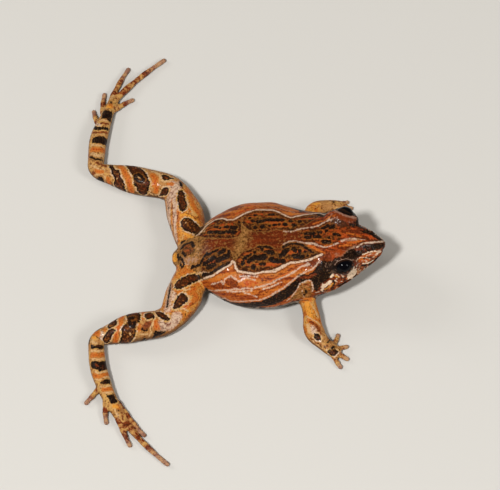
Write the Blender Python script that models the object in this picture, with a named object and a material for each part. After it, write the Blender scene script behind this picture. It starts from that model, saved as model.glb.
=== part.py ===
"""Common eastern froglet (Crinia signifera), life size, lying on its belly with its legs spread.

The animal faces +X, its left side is +Y and the floor is z = 0. Sizes are in millimetres in the
animal's own frame, which starts on the floor below the vent: x runs forward to the snout, y to the
left and z up. Every point is moved by MIDDLE and scaled to metres when its mesh is made, so that
the part's origin lies on the floor under the middle of its outline.

The trunk and head are one body form parted at the neck. Each leg and arm is one tapered limb,
parted at its joints, and its root is cut to the flank that it grows from. Neighbours keep GAP.
"""
import math

import bmesh
import bpy
import numpy as np
from mathutils import Vector

MM = 0.001
GAP = 0.3
MIDDLE = Vector((7.0, 1.4, 0.0))

# Body form: half width, height of the back, height of the belly and height of the widest level,
# each as (x, size) along the body
HALF_WIDTH = (
    (-0.25, 0.7), (0.3, 1.25), (1.6, 2.1), (3.0, 3.4), (4.2, 4.55), (5.6, 5.55), (7.3, 6.45),
    (9.2, 7.0), (11.5, 7.05), (13.8, 6.35), (16.0, 5.6), (17.6, 5.3), (19.4, 4.75), (21.2, 3.75),
    (22.4, 3.0), (23.6, 2.15), (24.5, 1.45), (25.0, 0.95), (25.25, 0.4),
)
BACK_HEIGHT = (
    (-0.25, 2.6), (0.3, 3.1), (1.6, 4.2), (3.0, 5.2), (5.0, 6.2), (8.0, 6.85), (12.0, 7.1),
    (14.5, 7.3), (17.0, 7.65), (20.0, 7.85), (22.0, 7.7), (23.5, 7.35), (24.6, 6.75), (25.25, 6.05),
)
BELLY_HEIGHT = (
    (-0.25, 1.7), (0.3, 1.2), (1.6, 0.35), (3.0, -0.1), (5.0, -0.2), (13.5, -0.2), (15.5, -0.05),
    (17.0, 0.45), (18.5, 1.2), (20.5, 2.15), (22.5, 3.1), (24.2, 4.05), (25.0, 4.75), (25.25, 5.3),
)
WIDEST_LEVEL = (
    (-0.25, 2.1), (3.0, 2.8), (8.0, 3.2), (13.0, 3.2), (16.0, 3.3), (18.0, 3.65), (20.0, 4.0),
    (22.0, 4.45), (24.0, 4.9), (25.25, 5.6),
)
BACK_FULLNESS = 2.15
BELLY_FULLNESS = 2.4
TORSO_SIDES = 36
TORSO_RINGS = 23
VENT_CROWDING = 1.15
BLOCK_SPACING = 0.8
RUMP_END_X = 9.0
CHEST_SPAN = (10.0, 20.0)
RIDGE_HEIGHT = 0.12
RIDGE_ANGLES = (38.0, 62.0)
RIDGE_SPREAD = 5.0
RIDGE_SPAN = (3.0, 16.0)
RIDGE_FADE = 2.0

# Head: the neck cut, the mouth line and the lips round it
NECK_X = 17.3
MOUTH_CORNER_X = 17.9
MOUTH_DEPTH = 0.28
MOUTH_SHARE = 0.3
LIP_SWELL = 0.07
LIP_ANGLES = (0.0, 4.5, 9.5, 17.0)
CROWN_ANGLES = (28.0, 40.0, 52.0, 65.0, 78.0)
THROAT_ANGLES = (-76.0, -60.0, -45.0, -30.0)
MOUTH_FADE = 0.8
HEAD_RINGS = 27
SNOUT_CROWDING = 1.5

# Eyes: the ball, its socket and the mound of the lids that the socket opens through, mirrored
EYE_CENTRE = Vector((20.35, 3.3, 6.85))
EYE_RADII = Vector((1.35, 1.3, 1.25))
EYE_SIDES = (24, 14)
SOCKET_GAP = 0.26
LID_CENTRE = Vector((20.0, 2.75, 6.6))
LID_RADII = Vector((2.2, 1.65, 1.7))
LID_SIDES = (28, 16)
NOSTRIL_CENTRE = Vector((23.4, 1.4, 6.95))
NOSTRIL_RADII = Vector((0.2, 0.2, 0.2))
NOSTRIL_SIDES = (10, 6)

# Limbs: (x, y, z, half width, half height, rounding of the corner there), from root to end;
# the right limbs have y below zero
LEG_SIDES = 16
LEG_RIGHT = (
    (2.4, -0.9, 2.0, 1.7, 1.7, 0.0), (1.45, -5.2, 1.8, 2.25, 2.0, 1.5),
    (-0.25, -8.75, 1.5, 1.65, 1.6, 1.9), (-4.7, -9.55, 1.55, 1.75, 1.65, 1.5),
    (-8.95, -10.95, 1.05, 0.95, 1.05, 1.0), (-8.55, -14.8, 0.95, 1.02, 0.95, 1.5),
    (-7.1, -18.7, 0.75, 0.85, 0.8, 1.5), (-5.75, -20.9, 0.6, 0.75, 0.65, 0.0),
)
LEG_LEFT = (
    (2.4, 0.9, 2.0, 1.7, 1.7, 0.0), (1.25, 6.2, 1.8, 2.25, 2.0, 1.5),
    (-0.35, 10.5, 1.5, 1.6, 1.6, 1.9), (-5.0, 11.35, 1.55, 1.75, 1.65, 1.5),
    (-10.15, 13.0, 1.05, 1.0, 1.05, 1.0), (-10.05, 17.7, 0.95, 1.1, 0.95, 1.5),
    (-9.1, 21.4, 0.75, 0.76, 0.78, 1.5), (-8.45, 23.6, 0.6, 0.62, 0.62, 0.0),
)
LEG_PARTS = ("thigh", "shank", "tarsus", "foot")
LEG_JOINTS = (2, 4)
MIDFOOT_SHARE = 0.35
RING_SPACING = 0.8
HEADING_STEP = 0.5
PALM_END_SHARE = 0.75
PALM_END_REACH = 0.3
ARM_SIDES = 14
ARM_RIGHT = (
    (15.5, -3.9, 2.4, 1.05, 1.05, 0.0), (16.7, -6.8, 1.6, 1.0, 1.0, 1.2),
    (16.95, -9.3, 1.05, 1.2, 1.05, 1.1), (18.5, -10.95, 0.75, 0.85, 0.75, 0.8),
    (19.75, -11.8, 0.5, 0.85, 0.5, 0.0),
)
ARM_LEFT = (
    (15.4, 3.9, 2.4, 1.05, 1.05, 0.0), (16.2, 6.3, 1.7, 1.0, 1.0, 1.2),
    (16.75, 8.1, 1.05, 1.0, 1.0, 1.1), (18.9, 8.85, 0.75, 0.8, 0.7, 0.8),
    (20.0, 8.95, 0.5, 0.8, 0.5, 0.0),
)
ARM_PARTS = ("upper_arm", "forearm", "hand")
ARM_JOINTS = (2, 3)

# Toes and fingers on the floor: (x, y) of the root, the bend and the tip, then the root's radius
TOE_SIDES = 8
TOE_SPACING = 0.7
TOE_TIP_RADIUS = 0.27
TOE_TIP_STEPS = ((0.8, 0.5), (0.4, 0.9))
TOE_ROOT_RISE = 0.25
TOE_BEND_SHARE = 0.95
JOINT_SWELL = 0.06
JOINT_COUNT = 3
BEND_STEPS = 12
TOES_RIGHT = (
    ((-7.9, -16.9), (-8.9, -18.3), (-9.7, -19.3), 0.38),
    ((-7.3, -18.1), (-7.6, -20.2), (-7.2, -21.9), 0.4),
    ((-6.5, -19.7), (-5.6, -22.3), (-4.3, -24.9), 0.42),
    ((-6.0, -20.3), (-4.2, -23.6), (0.2, -27.3), 0.45),
    ((-6.0, -19.3), (-4.3, -21.8), (-2.7, -23.5), 0.4),
)
TOES_LEFT = (
    ((-9.9, 19.6), (-10.6, 21.0), (-10.8, 22.2), 0.38),
    ((-9.5, 20.8), (-9.9, 22.9), (-9.6, 24.8), 0.4),
    ((-9.0, 22.4), (-8.4, 25.6), (-6.8, 28.7), 0.42),
    ((-8.6, 23.0), (-6.9, 26.2), (-2.4, 30.2), 0.45),
    ((-8.7, 21.9), (-7.4, 23.3), (-6.1, 24.1), 0.4),
)
FINGERS_RIGHT = (
    ((19.15, -11.1), (19.7, -10.3), (19.95, -9.25), 0.38),
    ((19.5, -11.4), (20.3, -11.05), (21.0, -10.8), 0.4),
    ((19.6, -11.8), (20.4, -12.1), (21.1, -12.5), 0.42),
    ((19.3, -11.9), (19.7, -12.8), (20.3, -13.6), 0.38),
)
FINGERS_LEFT = (
    ((19.55, 8.6), (20.3, 7.9), (20.8, 7.1), 0.38),
    ((19.8, 8.8), (20.6, 8.3), (21.4, 7.9), 0.4),
    ((19.8, 9.0), (20.6, 8.9), (21.3, 8.8), 0.42),
    ((19.5, 9.1), (20.2, 9.5), (20.8, 9.7), 0.38),
)

# Colours as (red, green, blue), roughness
FINISHES = {
    "back_brown": ((0.20, 0.075, 0.035), 0.35),
    "flank_orange": ((0.45, 0.17, 0.06), 0.35),
    "foot_banded": ((0.22, 0.11, 0.06), 0.40),
    "eye_dark": ((0.012, 0.009, 0.008), 0.08),
}


def clear_scene():
    """Remove every object of the scene."""
    for item in list(bpy.data.objects):
        bpy.data.objects.remove(item, do_unlink=True)


def finish_material(name):
    """Return the named finish as a Principled material."""
    material = bpy.data.materials.get(name)
    if material is None:
        material = bpy.data.materials.new(name)
        material.use_nodes = True
        colour, roughness = FINISHES[name]
        shader = material.node_tree.nodes["Principled BSDF"]
        shader.inputs["Base Color"].default_value = (*colour, 1.0)
        shader.inputs["Roughness"].default_value = roughness
        shader.inputs["Metallic"].default_value = 0.0
        material.diffuse_color = (*colour, 1.0)
    return material


def along(curve, x):
    """Read a smooth curve that keeps to its points and never swings past them."""
    xs, ys = np.array(curve).T
    step = np.diff(xs)
    slope = np.diff(ys) / step
    tangent = np.empty(len(xs))
    tangent[0] = slope[0]
    tangent[-1] = slope[-1]
    for k in range(1, len(xs) - 1):
        if slope[k - 1] * slope[k] <= 0.0:
            tangent[k] = 0.0
        else:
            before = 2.0 * step[k] + step[k - 1]
            after = step[k] + 2.0 * step[k - 1]
            tangent[k] = (before + after) / (before / slope[k - 1] + after / slope[k])
    x = min(max(x, xs[0]), xs[-1])
    k = int(np.clip(np.searchsorted(xs, x) - 1, 0, len(step) - 1))
    t = (x - xs[k]) / step[k]
    hermite = (
        (1 + 2 * t) * (1 - t) ** 2 * ys[k] + t * (1 - t) ** 2 * step[k] * tangent[k]
        + t * t * (3 - 2 * t) * ys[k + 1] + t * t * (t - 1) * step[k] * tangent[k + 1]
    )
    return float(hermite)


def body_point(x, angle, grow=0.0):
    """Return a point of the body form: angle 0 is the left side, 90 degrees the back."""
    level = along(WIDEST_LEVEL, x)
    side = math.cos(angle)
    rise = math.sin(angle)
    if rise >= 0.0:
        power = 2.0 / BACK_FULLNESS
        reach = along(BACK_HEIGHT, x) - level + grow
    else:
        power = 2.0 / BELLY_FULLNESS
        reach = level - along(BELLY_HEIGHT, x) + grow
    y = math.copysign(abs(side) ** power, side) * (along(HALF_WIDTH, x) + grow)
    z = level + math.copysign(abs(rise) ** power, rise) * reach
    return Vector((x, y, z))


def fold_height(x, angle):
    """Height of the two low skin folds that run along each side of the back."""
    start, end = RIDGE_SPAN
    if math.sin(angle) < 0.0:
        return 0.0
    fade = min(max(min(x - start, end - x) / RIDGE_FADE, 0.0), 1.0)
    slant = math.degrees(math.asin(min(math.sin(angle), 1.0)))
    swell = sum(math.exp(-((slant - fold) / RIDGE_SPREAD) ** 2) for fold in RIDGE_ANGLES)
    return RIDGE_HEIGHT * fade * swell


def torso_ring(x, grow=0.0):
    """Return the cross-section of the trunk at x."""
    ring = []
    for k in range(TORSO_SIDES):
        angle = 2.0 * math.pi * k / TORSO_SIDES
        ring.append(body_point(x, angle, grow + fold_height(x, angle)))
    return ring


def head_angles():
    """Angles of a head ring in degrees, close together round the mouth line on both sides."""
    lower = [-a for a in reversed(LIP_ANGLES[1:])]
    left = [*THROAT_ANGLES, *lower, *LIP_ANGLES, *CROWN_ANGLES]
    right = [180.0 - a for a in reversed(left)]
    return left + [90.0] + right + [270.0]


def head_ring(x):
    """Return the cross-section of the head at x, with the mouth line and the lips."""
    open_share = min(max((x - MOUTH_CORNER_X) / MOUTH_FADE, 0.0), 1.0)
    swell = {0.0: -MOUTH_DEPTH, LIP_ANGLES[1]: LIP_SWELL / 2.0, LIP_ANGLES[2]: LIP_SWELL}
    width = along(HALF_WIDTH, x)
    ring = []
    for degrees in head_angles():
        folded = min(abs(degrees), abs(180.0 - degrees))
        change = swell.get(round(folded, 3), 0.0) * open_share
        point = body_point(x, math.radians(degrees))
        point.y *= 1.0 + max(change / width, -MOUTH_SHARE)
        ring.append(point)
    return ring


def new_object(name, verts, faces, finish):
    """Make a mesh object from points in the animal's frame, in millimetres."""
    mesh = bpy.data.meshes.new(name)
    mesh.from_pydata([tuple((Vector(v) - MIDDLE) * MM) for v in verts], [], faces)
    mesh.validate()
    item = bpy.data.objects.new(name, mesh)
    bpy.context.scene.collection.objects.link(item)
    item.data.materials.append(finish_material(finish))
    return item


def loft(name, rings, finish):
    """Join rings of equal length into one closed body with a flat face at each end."""
    count = len(rings[0])
    verts = [point for ring in rings for point in ring]
    faces = []
    for r in range(len(rings) - 1):
        low, high = r * count, (r + 1) * count
        for k in range(count):
            n = (k + 1) % count
            faces.append((low + k, low + n, high + n, high + k))
    faces.append(tuple(reversed(range(count))))
    faces.append(tuple((len(rings) - 1) * count + k for k in range(count)))
    item = new_object(name, verts, faces, finish)
    face_outwards(item)
    return item


def face_outwards(item):
    """Turn every face of a closed mesh outwards."""
    work = bmesh.new()
    work.from_mesh(item.data)
    bmesh.ops.recalc_face_normals(work, faces=work.faces)
    if work.calc_volume(signed=True) < 0.0:
        bmesh.ops.reverse_faces(work, faces=work.faces)
    work.to_mesh(item.data)
    work.free()


def ellipsoid(name, centre, radii, finish, sides):
    """Make a closed ellipsoid with a number of segments and of levels."""
    segments, levels = sides
    verts = [(centre[0], centre[1], centre[2] + radii[2])]
    for level in range(1, levels):
        tilt = math.pi * level / levels
        for k in range(segments):
            turn = 2.0 * math.pi * k / segments
            verts.append((
                centre[0] + radii[0] * math.sin(tilt) * math.cos(turn),
                centre[1] + radii[1] * math.sin(tilt) * math.sin(turn),
                centre[2] + radii[2] * math.cos(tilt),
            ))
    verts.append((centre[0], centre[1], centre[2] - radii[2]))
    last = len(verts) - 1
    faces = []
    for k in range(segments):
        n = (k + 1) % segments
        faces.append((0, 1 + k, 1 + n))
        for level in range(levels - 2):
            a, b = 1 + level * segments, 1 + (level + 1) * segments
            faces.append((a + k, b + k, b + n, a + n))
        bottom = 1 + (levels - 2) * segments
        faces.append((bottom + k, last, bottom + n))
    item = new_object(name, verts, faces, finish)
    face_outwards(item)
    return item


class Limb:
    """A tapered limb along a path with rounded corners, read by distance from its root."""

    def __init__(self, points):
        corners = [Vector(p[:3]) for p in points]
        path = [corners[0]]
        marks = [0]
        for k in range(1, len(corners) - 1):
            reach = points[k][5]
            enter = corners[k] + (corners[k - 1] - corners[k]).normalized() * reach
            leave = corners[k] + (corners[k + 1] - corners[k]).normalized() * reach
            marks.append(len(path) + BEND_STEPS // 2)
            for s in range(BEND_STEPS + 1):
                t = s / BEND_STEPS
                path.append(enter * (1 - t) ** 2 + corners[k] * 2 * t * (1 - t) + leave * t * t)
        path.append(corners[-1])
        marks.append(len(path) - 1)
        self.path = np.array(path)
        steps = np.linalg.norm(np.diff(self.path, axis=0), axis=1)
        self.distance = np.concatenate(([0.0], np.cumsum(steps)))
        self.corner = [float(self.distance[m]) for m in marks]
        self.width = tuple(zip(self.corner, (p[3] for p in points)))
        self.height = tuple(zip(self.corner, (p[4] for p in points)))
        self.length = float(self.distance[-1])

    def place(self, s):
        """Return the point at distance s, run on straight past either end."""
        inside = min(max(s, 0.0), self.length)
        point = Vector([float(np.interp(inside, self.distance, self.path[:, k])) for k in range(3)])
        return point + self.heading(inside) * (s - inside)

    def heading(self, s):
        """Return the direction of the path at distance s."""
        a = min(max(s - HEADING_STEP / 2.0, 0.0), self.length - HEADING_STEP)
        ends = []
        for d in (a, a + HEADING_STEP):
            ends.append(Vector([float(np.interp(d, self.distance, self.path[:, k])) for k in range(3)]))
        return (ends[1] - ends[0]).normalized()

    def ring(self, s, sides):
        """Return the oval cross-section at distance s, square to the path."""
        ahead = self.heading(s)
        across = Vector((0, 0, 1)).cross(ahead).normalized()
        upward = ahead.cross(across)
        centre = self.place(s)
        wide = along(self.width, s)
        tall = along(self.height, s)
        ring = []
        for k in range(sides):
            angle = 2.0 * math.pi * (k + 0.5) / sides
            ring.append(centre + across * (wide * math.cos(angle)) + upward * (tall * math.sin(angle)))
        return ring

    def stretch(self, start, end, sides):
        """Return the rings between two distances."""
        count = max(3, round((end - start) / RING_SPACING)) + 1
        return [self.ring(start + (end - start) * k / (count - 1), sides) for k in range(count)]


def operate(item, others, operation):
    """Fuse or cut a body with a collection of closed mesh objects, then remove those."""
    group = bpy.data.collections.new("pieces")
    bpy.context.scene.collection.children.link(group)
    for other in others:
        for owner in list(other.users_collection):
            owner.objects.unlink(other)
        group.objects.link(other)
        other.hide_render = True
        other.display_type = "WIRE"
    modifier = item.modifiers.new("join", "BOOLEAN")
    modifier.operation = operation
    modifier.operand_type = "COLLECTION"
    modifier.collection = group
    modifier.solver = "EXACT"
    bpy.context.view_layer.update()
    result = bpy.data.meshes.new_from_object(item.evaluated_get(bpy.context.evaluated_depsgraph_get()))
    item.modifiers.remove(modifier)
    item.data = result
    for other in others:
        bpy.data.objects.remove(other, do_unlink=True)
    bpy.data.collections.remove(group)
    keep_largest(item)


def keep_largest(item):
    """Keep only the largest closed surface of a body."""
    work = bmesh.new()
    work.from_mesh(item.data)
    waiting = set(work.verts)
    groups = []
    while waiting:
        seed = waiting.pop()
        group = {seed}
        front = [seed]
        while front:
            vert = front.pop()
            for edge in vert.link_edges:
                other = edge.other_vert(vert)
                if other not in group:
                    group.add(other)
                    front.append(other)
        waiting -= group
        groups.append(group)
    keep = max(groups, key=spread)
    bmesh.ops.delete(work, geom=[v for v in work.verts if v not in keep], context="VERTS")
    work.to_mesh(item.data)
    work.free()


def spread(verts):
    """Return the diagonal of the box round some vertices."""
    points = np.array([v.co for v in verts])
    return float(np.linalg.norm(points.max(axis=0) - points.min(axis=0)))


def cut_below_floor(item):
    """Cut off what reaches below the floor and close it with flats at one level."""
    work = bmesh.new()
    work.from_mesh(item.data)
    if min(v.co.z for v in work.verts) < 0.0:
        geometry = list(work.verts) + list(work.edges) + list(work.faces)
        bmesh.ops.bisect_plane(
            work, geom=geometry, dist=1e-6, plane_co=(0, 0, 0), plane_no=(0, 0, 1), clear_inner=True
        )
        rim = [edge for edge in work.edges if edge.is_boundary]
        bmesh.ops.holes_fill(work, edges=rim, sides=0)
        for vert in work.verts:
            if abs(vert.co.z) < 2e-6:
                vert.co.z = 0.0
    bmesh.ops.dissolve_degenerate(work, dist=2e-6, edges=work.edges)
    bmesh.ops.recalc_face_normals(work, faces=work.faces)
    work.to_mesh(item.data)
    work.free()


def shade(item, angle=50.0):
    """Shade a round body smooth, with its sharper edges kept."""
    item.data.shade_smooth()
    item.data.set_sharp_from_angle(angle=math.radians(angle))


def trunk_block(start, end, grow, name):
    """Return the plain body form between two stations, grown outwards."""
    count = max(4, round((end - start) / BLOCK_SPACING)) + 1
    rings = [torso_ring(start + (end - start) * k / (count - 1), grow) for k in range(count)]
    return loft(name, rings, "back_brown")


def build_torso():
    """Build the trunk from the vent to the neck cut."""
    start, end = HALF_WIDTH[0][0], NECK_X - GAP / 2
    rings = []
    for k in range(TORSO_RINGS):
        t = k / (TORSO_RINGS - 1)
        rings.append(torso_ring(start + (end - start) * t ** VENT_CROWDING))
    torso = loft("torso", rings, "back_brown")
    cut_below_floor(torso)
    shade(torso)
    return torso


def build_head():
    """Build the head: lips and mouth line in the form, lids, eye sockets and nostrils."""
    start, end = NECK_X + GAP / 2, HALF_WIDTH[-1][0]
    rings = []
    for k in range(HEAD_RINGS):
        t = k / (HEAD_RINGS - 1)
        rings.append(head_ring(start + (end - start) * (1.0 - (1.0 - t) ** SNOUT_CROWDING)))
    head = loft("head", rings, "back_brown")
    socket = EYE_RADII + Vector((SOCKET_GAP, SOCKET_GAP, SOCKET_GAP))
    lids = []
    cuts = []
    for side in (1, -1):
        lids.append(ellipsoid("lid", flip(LID_CENTRE, side), LID_RADII, "back_brown", LID_SIDES))
        cuts.append(ellipsoid("socket", flip(EYE_CENTRE, side), socket, "back_brown", LID_SIDES))
        nostril = flip(NOSTRIL_CENTRE, side)
        cuts.append(ellipsoid("nostril", nostril, NOSTRIL_RADII, "back_brown", NOSTRIL_SIDES))
    operate(head, lids, "UNION")
    operate(head, cuts, "DIFFERENCE")
    cut_below_floor(head)
    shade(head)
    return head


def flip(point, side):
    """Mirror a point to the other side of the animal where side is -1."""
    return (point[0], point[1] * side, point[2])


def build_eyes():
    """Build both eyeballs."""
    for side, name in ((1, "eye_left"), (-1, "eye_right")):
        eye = ellipsoid(name, flip(EYE_CENTRE, side), EYE_RADII, "eye_dark", EYE_SIDES)
        shade(eye)


def digit(name, root, middle, tip, radius):
    """Return one tapered toe or finger on the floor, bent at its middle."""
    rises = (radius + TOE_ROOT_RISE, radius * TOE_BEND_SHARE, TOE_TIP_RADIUS)
    points = [Vector((*place, rise)) for place, rise in zip((root, middle, tip), rises)]
    length = (points[1] - points[0]).length + (points[2] - points[1]).length
    count = max(6, round(length / TOE_SPACING))
    rings = []
    for k in range(count + 1):
        t = k / count
        centre = points[0] * (1 - t) ** 2 + points[1] * 2 * t * (1 - t) + points[2] * t * t
        ahead = ((points[1] - points[0]) * (1 - t) + (points[2] - points[1]) * t).normalized()
        across = Vector((0, 0, 1)).cross(ahead).normalized()
        upward = ahead.cross(across)
        size = radius + (TOE_TIP_RADIUS - radius) * t
        size *= 1.0 + JOINT_SWELL * math.cos(2.0 * math.pi * t * JOINT_COUNT)
        ring = []
        for n in range(TOE_SIDES):
            angle = 2.0 * math.pi * (n + 0.5) / TOE_SIDES
            ring.append(centre + across * (size * math.cos(angle)) + upward * (size * math.sin(angle)))
        rings.append(ring)
    end = rings[-1]
    heart = sum(end, Vector()) / len(end)
    ahead = (points[2] - points[1]).normalized()
    for shrink, step in TOE_TIP_STEPS:
        rings.append([heart + (p - heart) * shrink + ahead * TOE_TIP_RADIUS * step for p in end])
    return loft(name, rings, "foot_banded")


def build_limb(points, cuts, part_names, side, digits, sides, root_block):
    """Build one limb, parted at its joints, with its digits fused to its last part."""
    limb = Limb(points)
    starts = [0.0] + [c + GAP / 2 for c in cuts(limb)]
    ends = [c - GAP / 2 for c in cuts(limb)] + [limb.length]
    for k, part_name in enumerate(part_names):
        is_last = k == len(part_names) - 1
        rings = limb.stretch(starts[k], ends[k], sides)
        if is_last:
            heart = sum(rings[-1], Vector()) / sides
            onward = limb.heading(limb.length) * PALM_END_REACH
            rings.append([heart + (p - heart) * PALM_END_SHARE + onward for p in rings[-1]])
        body = loft(f"{part_name}_{side}", rings, "foot_banded" if is_last else "flank_orange")
        if k == 0:
            operate(body, [root_block()], "DIFFERENCE")
        if is_last:
            toes = [digit(f"digit_{n}", *spec) for n, spec in enumerate(digits)]
            operate(body, toes, "UNION")
        cut_below_floor(body)
        shade(body)


def leg_cuts(limb):
    """Return the distances of the knee, the heel and the cut across the foot."""
    knee, heel = limb.corner[LEG_JOINTS[0]], limb.corner[LEG_JOINTS[1]]
    return (knee, heel, heel + (limb.length - heel) * MIDFOOT_SHARE)


def arm_cuts(limb):
    """Return the distances of the elbow and the wrist."""
    return tuple(limb.corner[joint] for joint in ARM_JOINTS)


def rump_block():
    """Return the part of the body form that the thighs grow from, grown by the gap."""
    return trunk_block(HALF_WIDTH[0][0], RUMP_END_X, GAP, "rump")


def chest_block():
    """Return the part of the body form that the arms grow from, grown by the gap."""
    return trunk_block(*CHEST_SPAN, GAP, "chest")


def main():
    """Build every piece."""
    clear_scene()
    build_torso()
    build_head()
    build_eyes()
    build_limb(LEG_LEFT, leg_cuts, LEG_PARTS, "left", TOES_LEFT, LEG_SIDES, rump_block)
    build_limb(LEG_RIGHT, leg_cuts, LEG_PARTS, "right", TOES_RIGHT, LEG_SIDES, rump_block)
    build_limb(ARM_LEFT, arm_cuts, ARM_PARTS, "left", FINGERS_LEFT, ARM_SIDES, chest_block)
    build_limb(ARM_RIGHT, arm_cuts, ARM_PARTS, "right", FINGERS_RIGHT, ARM_SIDES, chest_block)


main()
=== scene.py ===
"""Looks of a still, life-size common eastern froglet: one wet patterned skin and two dark eyes.

Lengths are millimetres in the animal's own frame until a mesh is made: x runs forward from the
vent, y to the animal's left and z up from the floor. A place on the skin is told by the form that
it belongs to and by two lengths there: how far along the form it lies (x on the trunk, distance
from the root on a limb), and its girth, the way over the skin from the form's top line, which is
positive on the left of the form's heading. The marks of the pattern are read off the photograph
as pixels, and each is laid on the skin where the camera's ray through that pixel meets it.
"""
import logging
import math
from dataclasses import dataclass, field
from enum import Enum
from typing import Any, Sequence

import bpy
import numpy as np
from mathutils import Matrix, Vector
from mathutils.bvhtree import BVHTree


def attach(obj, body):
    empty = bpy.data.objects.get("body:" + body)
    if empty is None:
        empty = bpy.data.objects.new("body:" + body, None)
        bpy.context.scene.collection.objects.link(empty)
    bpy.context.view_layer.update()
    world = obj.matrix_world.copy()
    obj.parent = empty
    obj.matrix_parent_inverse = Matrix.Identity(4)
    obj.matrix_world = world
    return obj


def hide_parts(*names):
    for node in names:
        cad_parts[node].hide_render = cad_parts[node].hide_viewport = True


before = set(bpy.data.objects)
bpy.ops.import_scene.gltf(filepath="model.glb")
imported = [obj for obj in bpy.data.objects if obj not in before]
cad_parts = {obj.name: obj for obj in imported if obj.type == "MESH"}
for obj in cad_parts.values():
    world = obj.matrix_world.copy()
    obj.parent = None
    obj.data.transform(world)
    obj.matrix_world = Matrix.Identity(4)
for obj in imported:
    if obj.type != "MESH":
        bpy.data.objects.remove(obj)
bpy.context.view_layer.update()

LOG = logging.getLogger("froglet")
MM = 0.001
MIDDLE = np.array((7.0, 1.4, 0.0))
PIXEL = 0.12
FAR_AWAY = 99.0
Points = Sequence[tuple[float, ...]]


class Curve:
    """A smooth curve through (place, value) points that never swings past them."""

    def __init__(self, *points: tuple[float, float]) -> None:
        """Work out the slope at each point.

        Args:
            points: The (place, value) points, from the lowest place to the highest.
        """
        self.x, self.y = np.array(points, dtype=float).T
        self.step = np.diff(self.x)
        slope = np.diff(self.y) / self.step
        self.slope = np.concatenate((slope[:1], np.zeros(len(self.x) - 2), slope[-1:]))
        for k in range(1, len(self.x) - 1):
            if slope[k - 1] * slope[k] > 0.0:
                before = 2.0 * self.step[k] + self.step[k - 1]
                after = self.step[k] + 2.0 * self.step[k - 1]
                self.slope[k] = (before + after) / (before / slope[k - 1] + after / slope[k])

    def at(self, x: Any) -> Any:
        """Read the curve.

        Args:
            x: A place, or an array of them.

        Returns:
            The value there, held level past both ends.
        """
        x = np.clip(x, self.x[0], self.x[-1])
        k = np.clip(np.searchsorted(self.x, x) - 1, 0, len(self.step) - 1)
        step = self.step[k]
        t = (x - self.x[k]) / step
        start = (1 + 2 * t) * (1 - t) ** 2 * self.y[k] + t * (1 - t) ** 2 * step * self.slope[k]
        end = t * t * (3 - 2 * t) * self.y[k + 1] + t * t * (t - 1) * step * self.slope[k + 1]
        return start + end


def unit(vectors: np.ndarray) -> np.ndarray:
    """Return vectors at length one."""
    return vectors / np.maximum(np.linalg.norm(vectors, axis=-1, keepdims=True), 1e-9)


def ramp(values: Any, low: float, high: float) -> Any:
    """Return 0 at low and 1 at high, eased at both ends."""
    t = np.clip((values - low) / (high - low), 0.0, 1.0)
    return t * t * (3.0 - 2.0 * t)


def hill(values: Any, width: float) -> Any:
    """Return 1 at zero, falling away over a width on both sides."""
    return np.exp(-(values / width) ** 2)


@dataclass
class Places:
    """Where points lie on one form.

    Attributes:
        run: Distance along the form.
        girth: Distance over the skin from the top line, positive on the left.
        gap: Distance outside the form's own surface.
    """

    run: np.ndarray
    girth: np.ndarray
    gap: np.ndarray


class Shells:
    """Closed lofts gathered into one mesh."""

    def __init__(self) -> None:
        """Start with no shell."""
        self.verts: list[np.ndarray] = []
        self.faces: list[tuple[int, ...]] = []

    def loft(self, rings: Sequence[np.ndarray]) -> None:
        """Add a closed body through rings of equal length.

        Args:
            rings: The rings, each an array of points.
        """
        first = sum(len(block) for block in self.verts)
        count = len(rings[0])
        for row in range(len(rings) - 1):
            low, high = first + row * count, first + (row + 1) * count
            for k in range(count):
                n = (k + 1) % count
                self.faces.append((low + k, low + n, high + n, high + k))
        last = first + (len(rings) - 1) * count
        self.faces.append(tuple(reversed(range(first, first + count))))
        self.faces.append(tuple(range(last, last + count)))
        self.verts.append(np.concatenate(rings))

    def ball(self, centre: np.ndarray, radii: np.ndarray, sides: int = 48, levels: int = 24) -> None:
        """Add a closed ellipsoid as a loft from its lowest ring to its highest.

        Args:
            centre: Its centre.
            radii: Its three half sizes.
            sides: Points in a ring.
            levels: Number of rings.
        """
        turn = 2.0 * np.pi * np.arange(sides) / sides
        rings = []
        for level in range(levels):
            tilt = np.pi * (level + 0.5) / levels
            ring = np.stack([np.cos(turn) * np.sin(tilt), np.sin(turn) * np.sin(tilt),
                             np.full(sides, -np.cos(tilt))], axis=1)
            rings.append(centre + ring * radii)
        self.loft(rings)

    def mesh(self, name: str) -> bpy.types.Mesh:
        """Return all shells as one mesh, still in millimetres."""
        mesh = bpy.data.meshes.new(name)
        mesh.from_pydata(np.concatenate(self.verts).tolist(), [], self.faces)
        mesh.update()
        return mesh


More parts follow.
